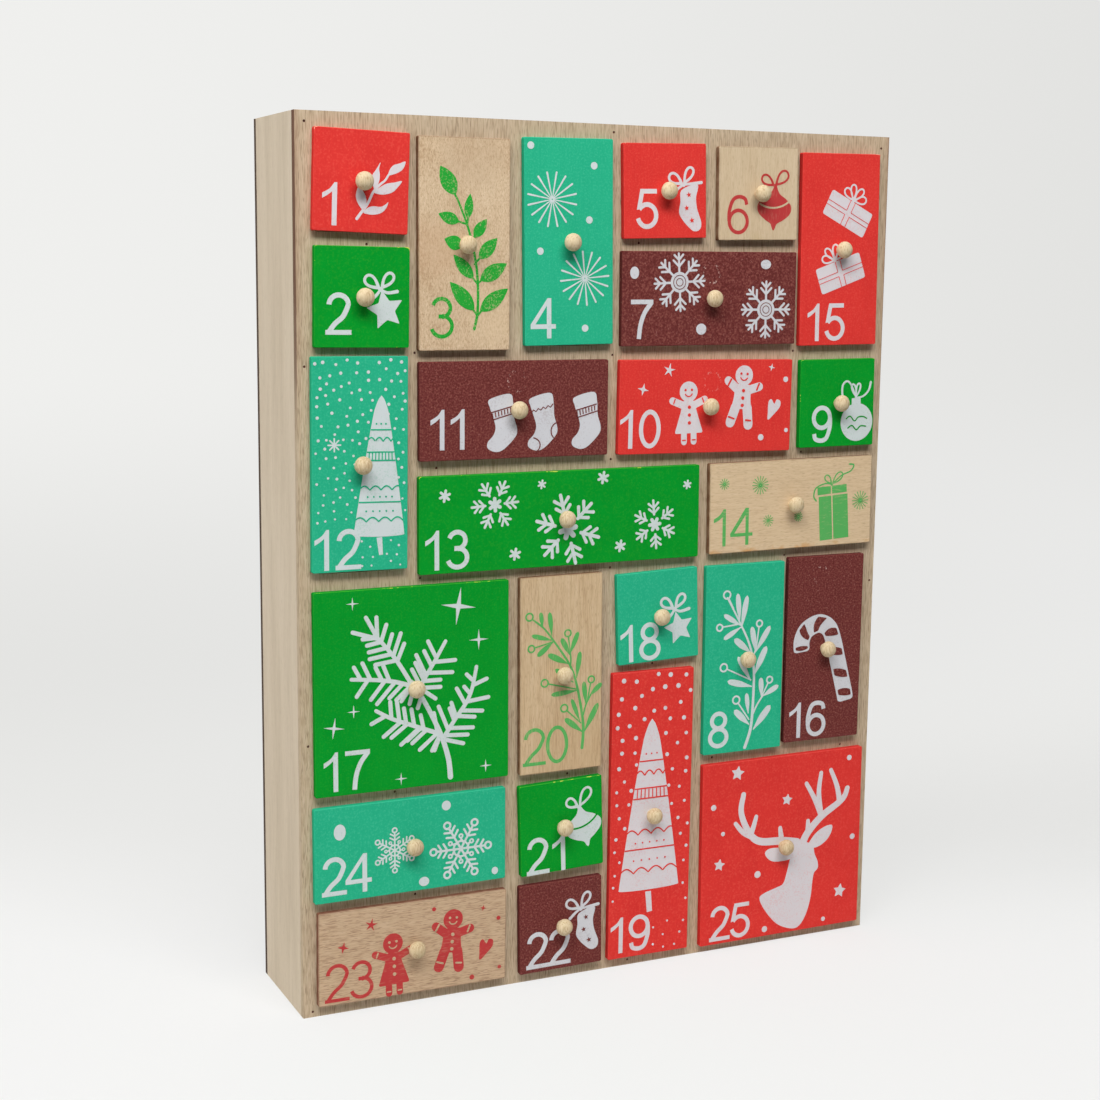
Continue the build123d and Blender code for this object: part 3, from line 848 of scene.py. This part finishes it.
def prints(number):
    ink, lines = [], []
    if number == 1:
        stem = [(-1.8, -15.8), (0.2, -13.0), (2.9, -9.3), (5.3, -4.3), (7.9, -1.3), (10.5, 0.9), (12.1, 3.4)]
        ink += sprig(stem, [], 1.1)
        leaves = ([(12.0, 3.2), (12.6, 5.6), (14.2, 7.5), (16.8, 8.4), (19.6, 9.4), (18.9, 6.8), (17.2, 5.0),
                   (14.6, 3.8)],
                  [(8.3, 8.3), (7.7, 5.8), (8.1, 3.1), (7.8, 0.3), (6.2, -3.7), (5.2, -1.7), (4.4, 0.6), (4.8, 2.9),
                   (6.6, 5.6)],
                  [(5.5, -4.1), (8.4, -2.0), (11.3, -0.4), (14.8, 0.3), (18.2, 1.0), (16.3, -1.7), (14.0, -3.9),
                   (10.6, -5.0), (7.4, -5.0)],
                  [(0.9, -11.9), (-1.4, -9.4), (-2.4, -6.7), (-2.2, -4.4), (-1.2, -2.0), (0.2, -3.4), (1.8, -6.0),
                   (2.3, -8.8)],
                  [(1.1, -13.0), (3.0, -11.0), (5.4, -10.2), (8.6, -10.3), (10.6, -9.5), (12.2, -8.2), (11.1, -11.0),
                   (9.0, -12.9), (5.6, -13.8), (2.6, -13.6)])
        ink += [[through(leaf, True, 4)] for leaf in leaves]
    if number in hangingStars:
        s = hangingStars[number]
        ink += star(*s["place"], 5, *s["size"], 0.6, 12)
        ink += bow(*s["bow"], s["loops"], [s["tail"], [(-1.8, -2.4), (-4.4, -4.6)]], s["line"])
    if number == 3:
        ink += sprig([(4.5, -36.7), (6.1, -28.9), (6.1, -15.4), (4.5, -3.9), (1.4, 7.6), (-2.8, 18.0), (-4.8, 21.6)],
                     [(-4.4, 21.4, -11.5, 33.6, 7.4), (1.3, 11.2, 2.5, 22.0, 4.2, 1.2, 8.6),
                      (-2.8, 9.8, -12.4, 13.2, 5.2, 1.2, 8.8), (4.4, 3.2, 10.3, 11.2, 5.0, 3.0, 2.4),
                      (-1.0, -0.6, -9.6, 2.4, 6.2, 3.2, -1.0), (6.8, -6.0, 15.4, 3.0, 6.0, 4.6, -8.4),
                      (4.0, -14.6, -5.3, -4.4, 5.6, 6.0, -17.0), (7.4, -15.4, 20.0, -8.0, 6.8, 6.0, -17.0),
                      (4.4, -28.4, -7.0, -16.2, 6.8, 6.0, -31.0), (7.4, -28.8, 20.6, -19.0, 6.8, 6.0, -31.0)], 1.1)
    if number == 4:
        for x, y, turn in ((-8.4, 18.9, 12), (7.7, -16.1, 5)):
            ink += burst(x, y, 16, 12.0, 0.44, turn, 0.5, 0.45)
        ink += dots([(x, y, 1.65) for x, y in ((-18.8, 42.3), (12.4, 33.9), (10.0, 9.9), (-14.4, -3.9), (7.8, -38.5))])
    if number in stockings:
        x, y = stockings[number]
        sock = [(8.4, 0.4), (16.8, 3.0), (16.0, -2.8), (16.4, -7.4), (17.6, -11.0), (18.8, -14.6), (18.0, -17.6),
                (15.0, -18.4), (11.8, -16.2), (8.6, -12.8), (7.0, -9.6), (7.8, -5.0)]
        ink += moved([[softened(through(sock, True, 4), 0.4)]], x, y)
        for a, b in ((12.2, -1.8), (11.0, -7.8), (13.8, -13.4)):
            lines += moved([[starLoop(5, 1.35, 0.58)]], x + a, y + b, 10)
        tails = [[(3.8, 0.4), (9.4, 1.0)], [(-2.6, -1.6), (-5.6, -4.2)]]
        ink += bow(x + 9.4, y + 2.8, [(150, 9.0, 5.4), (60, 9.4, 5.0)], tails, 1.2)
    if number in baubles:
        s = baubles[number]
        ink += moved(onionBauble(), *s["place"], s["turn"])
        lines += moved(strokes([arc(0, 9.5, 12, 9.5, 228, 312, 12)], 0.42, False), *s["place"], s["turn"] + 6)
        ink += bow(*s["bow"], s["loops"], [], s["line"])
    if number == 7:
        for x, y, turn in ((-16.8, 7.5, 3), (30.1, -5.3, 0)):
            ink += moved(branchedFlake(13.2, 0.52), x, y, turn)
            lines += [ringShape(x, y, r, r, 0.34) for r in (3.2, 1.75)]
        ink += [[oval(*place)] for place in ((-40.4, 11.8, 2.3, 2.8), (29.6, 15.9, 2.8, 2.2), (-4.9, -14.2, 2.7, 2.6))]
    if number == 8:
        ink += twigs([(1.5, -45.0), (4.6, -35.5), (5.6, -22.0), (5.6, -6.0), (3.0, 6.0), (-2.6, 17.4), (-10.2, 30.6)],
                     [(-3.0, 18.4, -4.4, 32.4, 2.8), (-2.0, 15.0, 1.0, 31.0, 3.0), (-2.4, 16.4, -12.0, 22.4, 2.6),
                      (-2.2, 15.6, -11.8, 10.2, 2.6), (6.4, 2.6, 4.0, 15.4, 3.0), (6.4, 2.6, 14.4, 15.0, 3.0),
                      (3.4, 2.6, -5.8, 10.0, 3.4), (5.8, -9.0, 12.6, 5.0, 3.4), (4.0, -11.6, -3.6, 1.0, 2.8),
                      (4.8, -14.6, -9.2, -10.8, 3.2), (10.4, -20.4, 9.8, -10.6, 2.8), (11.0, -20.0, 20.0, -15.4, 2.8),
                      (3.0, -28.0, 1.8, -17.6, 2.4), (3.6, -33.6, -5.0, -25.6, 3.4), (6.0, -36.4, 15.6, -25.0, 3.6)],
                     [(-6.6, 25.0, -10.4, 32.0, 1.9), (-2.8, 17.2, -14.2, 16.2, 1.6), (6.6, 3.6, 8.2, 16.6, 1.6),
                      (4.0, -11.2, -11.4, -3.8, 1.9), (10.6, -20.0, 14.8, -12.1, 1.6), (3.4, -31.0, -4.0, -20.6, 1.9)],
                     1.0)
        ink += strokes([through([(5.6, -28.6), (8.0, -24.0), (11.2, -19.6)])], 0.42)
        ink += strokes([through([(3.0, -2.6), (5.0, 0.6), (6.6, 4.0)])], 0.42)
    if number == 20:
        ink += twigs([(10.9, -36.5), (11.5, -26.5), (9.9, -15.2), (7.4, -4.0), (4.2, 4.1), (-2.6, 14.1), (-8.9, 22.2),
                      (-14.0, 26.4)],
                     [(-9.8, 22.8, -10.7, 30.0, 2.2), (-5.0, 18.6, -6.2, 29.8, 2.4), (-4.8, 16.4, -15.4, 19.4, 2.3),
                      (-4.4, 15.6, -12.4, 9.4, 2.7), (4.4, 9.4, 8.6, 19.4, 2.5), (4.4, 8.6, -0.1, 17.0, 2.7),
                      (3.4, 4.6, -7.0, 9.8, 3.0), (7.8, -2.6, 9.6, 10.0, 2.6), (6.2, -4.6, -3.2, 2.6, 2.7),
                      (8.2, -8.6, -5.3, -9.6, 2.5), (12.8, -15.6, 11.6, -4.6, 2.5), (14.6, -11.8, 21.0, -6.2, 2.5),
                      (9.6, -23.4, 5.3, -12.4, 2.2), (11.0, -28.8, 1.8, -21.5, 2.9), (12.0, -28.8, 19.2, -15.6, 2.9)],
                     [(-8.9, 22.2, -16.4, 28.2, 1.75), (-4.6, 15.6, -15.4, 13.2, 1.6), (4.6, 9.6, 3.2, 19.1, 1.6),
                      (8.0, -8.0, -8.6, -3.6, 1.75), (13.4, -14.6, 15.5, -4.0, 1.6), (10.2, -24.4, 1.5, -16.5, 1.75)],
                     0.9)
        ink += strokes([through([(11.4, -20.6), (12.8, -15.8), (15.2, -11.4)])], 0.38)
        ink += strokes([through([(4.6, 3.4), (4.8, 7.0), (4.4, 10.0)])], 0.36)
    if number == 9:
        ink += [[disc(11.5, -9.8, 9.3, 40)], [softened(box(8.4, -1.2, 13.6, 2.0), 0.6)]]
        waves = ([(5.4, -8.0), (7.6, -6.8), (10.2, -9.2), (12.4, -7.4), (15.2, -7.2), (17.4, -8.2)],
                 [(6.4, -12.6), (8.8, -11.4), (11.4, -13.6), (13.8, -11.8), (16.8, -12.0)])
        lines += strokes([through(wave) for wave in waves], 0.3)
        tails = [[(-2.6, 5.6), (-5.2, 8.2), (-7.8, 6.6), (-8.2, 2.6), (-7.4, -1.0)],
                 [(4.0, 0.6), (7.2, 3.4), (8.4, 7.4)]]
        ink += bow(10.9, 2.2, [(108, 7.4, 3.2), (76, 7.6, 3.2)], tails, 0.95)
    if number in figures:
        s = figures[number]
        for who, turn in (("skirt", 2), ("plain", -4)):
            body, icing = gingerbread(who == "skirt")
            ink += moved(body, *s[who], turn)
            lines += moved(icing, *s[who], turn)
        heart = through([(0.3, 2.6), (1.6, 4.6), (3.6, 3.8), (3.4, 1.0), (0.2, -2.4), (-3.0, -5.0), (-3.2, -1.6),
                         (-3.0, 3.4), (-1.4, 4.8)], True)
        ink += moved([[heart]], *s["heart"])
        for x, y, r, points in s["stars"]:
            ink += star(x, y, points, r, r * 0.3, 0.3, -12)
        ink += dots(s["dots"], 14)
    if number == 11:
        cuff = [[(-5.2, 4.6), (5.8, 7.4)], [(-4.2, 1.4), (6.2, 4.2)]]
        ribs = [[(-3.9 + 1.45 * k, 2.2 + 0.38 * k), (-4.3 + 1.5 * k, 4.4 + 0.38 * k)] for k in range(7)]
        ribbed = strokes(cuff + ribs, 0.26, False)
        zigzag = [(-5.2 + 1.2 * k, 4.6 + 0.3 * k + (0.55 if k % 2 else -0.55)) for k in range(10)]
        heelAndToe = [arc(8.2, -4.4, 3.4, 3.8, 100, 232, 10), arc(-5.2, -10.6, 4.6, 3.6, -60, 75, 10)]
        plain = strokes([zigzag], 0.26) + strokes(heelAndToe, 0.26, False)
        for x, knit in ((-7.4, ribbed), (12.6, plain), (34.6, ribbed)):
            ink += moved(stocking(), x, -5.8)
            lines += moved(knit, x, -5.8)
    if number == 12:
        tree, bands = firTree(61.0, 11.8, 1.7)
        ink += moved(tree, 8.6, -31.0, -1) + [[[(7.4, -32.4), (10.0, -32.2), (10.4, -40.0), (8.6, -40.2)]]]
        lines += moved(bands, 8.6, -31.0, -1)
        ink += burst(-11.9, 8.8, 8, 2.8, 0.34)

        def taken(x, y):  # by the number, the tree, its stem and the star
            onTree = -33 < y < 32 and abs(x - 8.6) < 2.2 + 11.0 * (32 - y) / 63
            onStem = y <= -33 and abs(x - 9.0) < 2.8
            return (y < -26 and x < 0.5) or onTree or onStem or hypot(x + 11.9, y - 8.8) < 4.2

        ink += snowDots(12, 20.8, 45.6, 116, 0.6, 0.003, 3.5, taken)
    if number == 13:
        for x, y, r, turn in ((-34.5, 8.0, 11.4, 4), (2.1, -5.2, 16.4, -16), (47.3, -5.3, 11.4, -25)):
            ink += moved(arrowFlake(r, 0.051 * r), x, y, turn)
        for x, y, r in ((-58.8, 13.0, 3.1), (-11.3, 16.2, 2.3), (19.9, 18.0, 3.2), (-24.5, -15.2, 3.1),
                        (29.2, -14.5, 3.1), (64.4, 12.8, 2.4)):
            ink += burst(x, y, 6, r * 0.78, r * 0.2, 20)
    if number == 14:
        for left, right, lidLeft, lidRight in ((-8.4, -1.1, -8.8, -1.1), (-0.4, 8.4, -0.4, 8.2)):
            ink += moved([[box(left, -11.0, right, 10.8)]], 24.2, -7.8, 3)
            ink += moved([[box(lidLeft, 11.5, lidRight, 15.4)]], 24.0, -7.6, 3)
        tails = [[(-4.0, 0.6), (-9.2, -1.4), (-10.4, -5.4), (-9.0, -7.6)],
                 [(5.4, 4.2), (10.8, 6.2), (12.6, 9.0), (10.2, 9.6)]]
        ink += bow(22.8, 8.4, [(130, 6.2, 3.6), (44, 8.4, 4.2)], tails, 0.7)
        for x, y, r in ((-38.2, 11.7, 2.6), (-18.2, 10.2, 4.4), (-13.5, -7.4, 2.8), (3.7, -6.4, 2.3),
                        (39.6, -0.4, 4.6)):
            ink += burst(x, y, 12 if r < 3 else 16, r, 0.2, 0, 0.3, 0.6)
    if number == 15:
        for x, y, turn, knot in ((3.9, 17.2, -27, 0), (0.6, -11.2, 19, -1.2)):
            body, ribbon = gift(26.0, 12.6)
            top = bow(knot, 6.8, [(154, 7.8, 4.4), (116, 8.2, 4.0), (70, 8.2, 4.0), (30, 7.8, 4.4)], [], 0.85)
            ink += moved(body + top, x, y, turn)
            lines += moved(ribbon, x, y, turn)
    if number == 16:
        line = through([(-12.9, -1.2), (-13.2, 4.4), (-10.4, 9.8), (-3.4, 12.6), (2.4, 9.9), (5.5, 3.2), (8.6, -7.8),
                        (11.7, -19.0), (13.2, -24.6), (13.8, -28.0)], steps=10)
        stripes = ((2.0, 1.2, 0.4), (9.7, 2.9, 2.6), (18.8, 3.5, 4.2), (28.7, 3.1, 2.4), (39.2, 3.2, 2.6),
                   (50.9, 3.4, 3.2), (61.3, 2.8, 1.8))
        ink, lines = candyCane(line, 4.6, stripes, 1.05, 1.7)
    if number == 17:
        main = through([(17.6, -43.3), (16.7, -35.0), (13.8, -25.2), (9.4, -15.3), (4.1, -5.3), (-1.2, 2.8)])
        ink += strokes([main], lambda t: 1.3 - 0.3 * t)
        limbs = (([(-1.2, 1.9), (-7.0, 11.4), (-11.8, 17.9), (-18.4, 25.6)],
                  [(-22.4, 33.6), (-17.5, 33.4), (-12.9, 29.7), (-10.2, 25.2), (-6.1, 25.3), (-4.5, 20.5),
                   (-28.6, 27.4), (-24.0, 24.0), (-22.0, 21.0), (-21.2, 17.9), (-20.8, 14.8), (-18.2, 12.0)]),
                 ([(-1.1, 0.9), (-8.9, 3.4), (-17.5, 5.0), (-29.4, 6.3)],
                  [(-28.2, 11.6), (-24.2, 13.2), (-18.1, 10.7), (-14.5, 11.3), (-27.0, -1.7), (-20.4, -3.7),
                   (-17.5, -5.9), (-11.7, -3.8), (-8.4, -4.9), (-6.0, -5.7)]),
                 ([(2.7, -0.4), (5.6, 4.5), (9.4, 10.2), (15.3, 20.0)],
                  [(6.9, 20.6), (5.0, 16.3), (1.2, 14.8), (0.7, 11.3), (-0.9, 8.4), (20.0, 11.0), (18.6, 5.5),
                   (12.8, 2.5), (12.8, -0.8), (10.4, -6.0)]),
                 ([(12.8, -22.7), (4.6, -19.5), (-3.1, -16.4), (-10.8, -13.2), (-18.0, -9.0)],
                  [(-20.2, -14.8), (-11.3, -5.6), (-8.1, -6.0), (-4.8, -9.1), (-1.2, -9.9), (3.2, -13.0), (9.6, -12.7),
                   (-14.5, -21.2), (-10.8, -22.0), (-6.2, -25.7), (-3.3, -24.2), (-0.9, -25.6), (2.7, -29.0),
                   (8.6, -30.0), (9.9, -30.0)]),
                 ([(13.8, -25.2), (20.0, -16.4), (25.3, -9.4), (28.2, -3.1), (30.4, 7.0)],
                  [(11.9, -9.9), (17.2, -11.2), (18.1, -8.7), (20.7, -2.3), (24.4, -1.8), (25.6, 3.8), (35.5, 1.0),
                   (36.3, -7.7), (33.3, -13.8), (29.5, -16.3), (28.7, -21.2), (26.1, -24.3), (23.9, -28.2)]))
        for points, tips in limbs:
            ink += boughNeedles(through(points, steps=12), tips, 0.95)
        ink += strokes([[(-0.4, -1.6), (-2.1, -7.3)], [(3.6, -4.4), (1.8, -9.6)]], 0.95)
        for x, y, r in ((21.6, 35.6, 8.6), (31.5, 19.5, 4.8), (-28.6, 40.2, 3.0), (-28.5, -8.4, 3.0),
                        (-37.7, -15.1, 4.9), (-6.3, -41.5, 3.0), (35.0, -39.9, 3.0)):
            ink += star(x, y, 4, r, 0.17 * r, 0.25, -8 if r > 4.8 else 0)
    if number == 19:
        tree, bands = firTree(84.0, 16.4, 2.1)
        ink += moved(tree, -0.4, -36.8) + [[[(-2.2, -38.8), (0.9, -38.8), (1.8, -49.0), (-1.1, -49.3)]]]
        lines += moved(bands, -0.4, -36.8)

        def taken(x, y):  # by the number and the tree
            return (y < -47.5 and x < 1.5) or (-52 < y < 50 and abs(x + 0.4) < 3.4 + 14.6 * (50 - y) / 86)

        ink += snowDots(19, 20.4, 69.2, 86, 0.86, 0.0045, 5.9, taken)
    if number == 24:
        ink += moved(ringFlake(10.6, 0.36), -8.4, -1.4, 30) + moved(ringFlake(15.2, 0.5), 23.9, -4.8)
        ink += [[oval(*place)] for place in ((-34.4, 10.3, 2.8, 3.7), (16.7, 16.6, 2.2, 2.3), (5.7, -18.0, 2.5, 2.2),
                                             (40.9, -17.6, 1.6, 1.8))]
    if number == 25:
        head = [(-12.6, -26.0), (-9.6, -23.6), (-2.7, -21.7), (1.1, -20.2), (3.0, -15.0), (4.6, -8.6), (6.2, -2.0),
                (10.6, 0.2), (17.8, -1.8), (19.4, -7.0), (21.4, -11.4), (21.5, -14.8), (19.4, -17.0), (18.6, -21.0),
                (17.4, -31.0), (14.6, -39.4), (10.6, -44.2), (5.6, -44.4), (-2.4, -40.6), (-9.4, -32.6)]
        ears = ([(6.0, -2.0), (-2.7, -0.9), (-7.6, -0.9), (-10.0, -2.6), (-8.7, -5.4), (-5.6, -7.6), (-1.0, -8.2),
                 (5.6, -7.4)],
                [(15.0, -2.8), (18.8, -3.8), (23.0, -2.8), (26.8, -0.2), (29.2, 3.6), (29.4, 6.8), (26.0, 6.8),
                 (21.6, 5.0), (17.8, 1.8)])
        ink += [[through(loop, True)] for loop in (head, *ears)]
        ink += antler([(8.6, 0.4), (-0.8, 2.4), (-13.3, 3.8), (-19.6, 9.2), (-24.3, 19.8), (-23.2, 29.0)],
                      [[(-17.0, 6.4), (-23.0, 9.6), (-27.4, 14.6)], [(-18.6, 8.0), (-17.0, 12.0), (-15.6, 16.8)],
                       [(-0.4, 2.6), (-1.0, 6.0), (-1.5, 9.2)]])
        ink += antler([(11.6, -1.4), (15.0, 4.8), (23.0, 12.3), (33.0, 18.2), (36.4, 21.2), (38.0, 25.2)],
                      [[(22.8, 12.6), (18.6, 21.7), (13.4, 30.4)], [(22.6, 12.6), (20.9, 24.8), (22.0, 35.0)],
                       [(33.6, 18.8), (31.6, 27.3), (27.8, 35.8)], [(15.0, 5.0), (15.0, 8.0), (14.9, 10.8)]])
        for x, y, r in ((-26.8, 40.3, 3.9), (2.2, 23.4, 3.2), (-36.3, -5.5, 3.3), (35.1, -28.7, 3.9)):
            ink += star(x, y, 5, r, r * 0.5, 0.4, -10)
        ink += dots([(-40.1, 24.3, 1.5), (-34.5, 10.3, 1.1), (38.6, 41.1, 1.4), (41.9, -0.7, 1.5), (-14.1, -13.3, 1.8),
                     (-9.3, -42.6, 1.6), (25.6, -42.4, 1.2)], 16)
    return ink, lines


# Prints on the fronts

inkColours = {"leafGreen": srgb(30, 160, 50), "paleGreen": srgb(88, 174, 92), "berryRed": srgb(186, 58, 58)}
bareInks = {3: ("leafGreen", 0.5, None), 6: ("berryRed", 0.14, "z"), 14: ("paleGreen", 0.3, "x"),
            20: ("paleGreen", 0.3, "z"), 23: ("berryRed", 0.2, "x")}  # colour, how worn, and the grain it follows
whiteWorn = 0.22
printLayer = {"ink": 0.05, "lines": 0.17, "spread": 0.09}  # how far each layer stands off the front, in millimetres
closest, weld = 0.004, 0.0004  # millimetres between an outline's points, and between points that are one


def flatMesh(shape, thick):  # one flat shape as a thin closed plate
    curve = bpy.data.curves.new("outline", "CURVE")
    curve.dimensions = "2D"
    curve.fill_mode = "BOTH"
    curve.extrude = thick / 2
    for loop in shape:
        kept = [p for p, (x, y) in zip(loop, loop[-1:] + loop[:-1]) if hypot(p[0] - x, p[1] - y) > closest]
        spline = curve.splines.new("POLY")
        spline.points.add(len(kept) - 1)
        for point, (x, y) in zip(spline.points, kept):
            point.co = (x, y, 0, 1)
        spline.use_cyclic_u = True
    holder = bpy.data.objects.new("outline", curve)
    mesh = bpy.data.meshes.new_from_object(holder)
    bpy.data.objects.remove(holder)
    bpy.data.curves.remove(curve)
    return mesh


def printPiece(name, number, shapes, base, material):
    middle = frontPlace(number)[0]
    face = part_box(f"drawer_{number:02d}_front")[0].y
    tilt = Matrix.Rotation(radians(-drawers[number]["tilt"]), 4, "Y")
    upright = Matrix.Rotation(radians(90), 4, "X")
    place = Matrix.Translation((middle.x, face, middle.z)) @ tilt @ upright @ Matrix.Scale(mm, 4)
    bm = bmesh.new()
    for i, shape in enumerate(shapes):
        thick = base + printLayer["spread"] * i / len(shapes)
        mesh = flatMesh(shape, thick)
        mesh.transform(Matrix.Translation((0, 0, thick / 2)))
        bm.from_mesh(mesh)
        bpy.data.meshes.remove(mesh)
    bmesh.ops.remove_doubles(bm, verts=bm.verts, dist=weld)
    bmesh.ops.transform(bm, matrix=place, verts=bm.verts)
    bmesh.ops.recalc_face_normals(bm, faces=bm.faces)
    mesh = bpy.data.meshes.new(name)
    bm.to_mesh(mesh)
    bm.free()
    piece = bpy.data.objects.new(name, mesh)
    bpy.context.scene.collection.objects.link(piece)
    mesh.materials.append(material)
    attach(piece, f"drawer_{number:02d}")
    return piece


inks = {}
for name, paint in paints.items():
    inks[name] = inkFinish(f"white_ink_on_{name}", paint["print"], paint["colour"], whiteWorn)
for number, (name, worn, grain) in bareInks.items():
    under = bareFronts[number]["colours"][1]
    inks[number] = inkFinish(f"{name}_ink_{number:02d}", inkColours[name], under, worn, grain)

faces = 0
for number, drawer in drawers.items():
    bare = drawer["finish"] == "bare"
    ink, lines = prints(number)
    ink = numeral(number, numeralSettings["bareLine" if bare else "paintLine"]) + ink
    finish = inks[number if bare else drawer["finish"]]
    piece = printPiece(f"print_{number:02d}", number, ink, printLayer["ink"], finish)
    faces += len(piece.data.polygons)
    if lines:
        piece = printPiece(f"print_lines_{number:02d}", number, lines, printLayer["lines"], frontFinish[number])
        faces += len(piece.data.polygons)
print("prints:", faces, "faces")


# Floor, light and camera

stageSettings = {
    "half": 3.0, "back": 0.75, "tall": 2.6, "bend": 0.55, "segments": 24,  # metres, and steps in the bend
    "floor": srgb(218, 218, 217), "cloud": srgb(212, 212, 211), "bounce": srgb(98, 98, 97), "evened": 0.68,
    # painted light: low is darker on the left as painted shade of the bend and of the cabinet's soft shadow, high falls
    # off from left to right, and the floor tone behind the cabinet is painted shade
    "glow": srgb(250, 250, 249), "behind": srgb(239, 239, 237), "low": (srgb(228, 228, 226), srgb(234, 234, 233)),
    "high": (srgb(240, 240, 238), srgb(226, 226, 224)), "clouds": 330,
    # from where to where one tone gives way to the next, in millimetres
    "across": (-300, 1200), "away": (160, 470), "up": (60, 260), "ahead": (-40, 230), "even": (0, 420),
    "near": (-420, -280),
}


def sweep():  # a floor that bends up into a backdrop
    half, back = stageSettings["half"], stageSettings["back"]
    bm = bmesh.new()
    line = [bm.verts.new((-half, y, z)) for y, z in ((-half, 0), (back, 0), (back, stageSettings["tall"]))]
    edges = [bm.edges.new(pair) for pair in zip(line, line[1:])]
    made = bmesh.ops.extrude_edge_only(bm, edges=edges)
    moving = [v for v in made["geom"] if isinstance(v, bmesh.types.BMVert)]
    bmesh.ops.translate(bm, vec=(2 * half, 0, 0), verts=moving)
    bend = [e for e in bm.edges if all(abs(v.co.z) < 1e-6 and abs(v.co.y - back) < 1e-6 for v in e.verts)]
    bmesh.ops.bevel(bm, geom=bend, offset=stageSettings["bend"], offset_type="OFFSET", profile=0.5,
                    segments=stageSettings["segments"], affect="EDGES", material=-1)
    bmesh.ops.recalc_face_normals(bm, faces=bm.faces)
    mesh = bpy.data.meshes.new("sweep")
    bm.to_mesh(mesh)
    bm.free()
    for polygon in mesh.polygons:
        polygon.use_smooth = True
    floor = bpy.data.objects.new("sweep", mesh)
    bpy.context.scene.collection.objects.link(floor)
    mesh.materials.append(paperFinish())
    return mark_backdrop(floor)


# The floor is lit and evened out by a pale tone of its own. Higher up the camera sees that tone alone. That tone
# carries painted light: painted shade low on the left and on the floor behind the cabinet, and a painted fall-off from
# left to right higher up
def paperFinish():
    s = stageSettings
    f = Finish("pale_paper")
    here = f.place()
    x, y, z = f.axes(here)
    # the wall and the floor behind the cabinet are painted darker: painted shade and a painted fall-off of light
    wall = [f.mix(x.step(*s["across"]), *s[k]) for k in ("low", "high")]
    far = f.mix(y.step(*s["away"]), s["behind"], f.mix(z.step(*s["up"]), *wall))
    tone = f.mix((y + x * 0.4).step(*s["ahead"]), s["glow"], far)
    glow = f.node("ShaderNodeEmission", None, {"Color": tone})
    even = s["evened"] + (1.0 - s["evened"]) * y.step(*s["even"])
    seen = f.node("ShaderNodeLightPath", out="Is Camera Ray")
    for ray in ("Is Glossy Ray", "Is Transmission Ray"):
        seen = seen.most(f.node("ShaderNodeLightPath", out=ray))
    sheet = f.mix(f.noise(here, s["clouds"]) * 0.1, s["floor"], s["cloud"])
    bounce = f.mix(y.step(*s["near"]), s["bounce"], sheet)
    values = {"Base Color": f.mix(seen, bounce, sheet), "Roughness": 0.9, "Specular IOR Level": 0.1}
    paper = f.node("ShaderNodeBsdfPrincipled", None, values)
    surface = f.node("ShaderNodeMixShader", None, {0: seen * even, 1: paper, 2: glow})
    f.node("ShaderNodeOutputMaterial", None, {"Surface": surface})
    return f.material


def softBox(name, place, target, size, power):
    lamp = bpy.data.lights.new(name, "AREA")
    lamp.shape = "RECTANGLE"
    lamp.size, lamp.size_y = size
    lamp.energy = power
    holder = bpy.data.objects.new(name, lamp)
    holder.location = place
    holder.rotation_euler = (Vector(target) - Vector(place)).to_track_quat("-Z", "Y").to_euler()
    bpy.context.scene.collection.objects.link(holder)


lampSettings = {
    "key": {"place": (-0.28, -0.84, 1.36), "target": (0, 0, 0.2), "size": (1.5, 0.4), "power": 26.7},
    "fill": {"place": (-2.9, -0.45, 1.6), "target": (0, 0, 0.2), "size": (1.8, 1.8), "power": 27.5},
}
roomLight = 0.08
sweep()
for name, s in lampSettings.items():
    softBox(name, **s)

world = bpy.data.worlds.new("room")
bpy.context.scene.world = world
world.use_nodes = True
air = world.node_tree.nodes["Background"].inputs
air["Color"].default_value = (1, 1, 1, 1)
air["Strength"].default_value = roomLight

cameraSettings = {"place": (-0.38350, -0.78666, 0.33590), "turn": 25.057, "down": 8.767, "roll": 0.593, "lens": 60.0,
                  "sensor": 36}


def photoCamera():
    s = cameraSettings
    turn, down, roll = (radians(s[k]) for k in ("turn", "down", "roll"))
    ahead = Vector((sin(turn) * cos(down), cos(turn) * cos(down), -sin(down)))
    across = Vector((cos(turn), -sin(turn), 0))
    up = across.cross(ahead)
    right = cos(roll) * across + sin(roll) * up
    top = cos(roll) * up - sin(roll) * across
    camera = bpy.data.cameras.new("camera")
    camera.sensor_width = s["sensor"]
    camera.lens = s["lens"]
    holder = bpy.data.objects.new("camera", camera)
    holder.matrix_world = Matrix.Translation(s["place"]) @ Matrix((right, top, -ahead)).transposed().to_4x4()
    bpy.context.scene.collection.objects.link(holder)
    bpy.context.scene.camera = holder


photoCamera()
bpy.context.scene.view_settings.view_transform = "Standard"
print("stage and camera done")
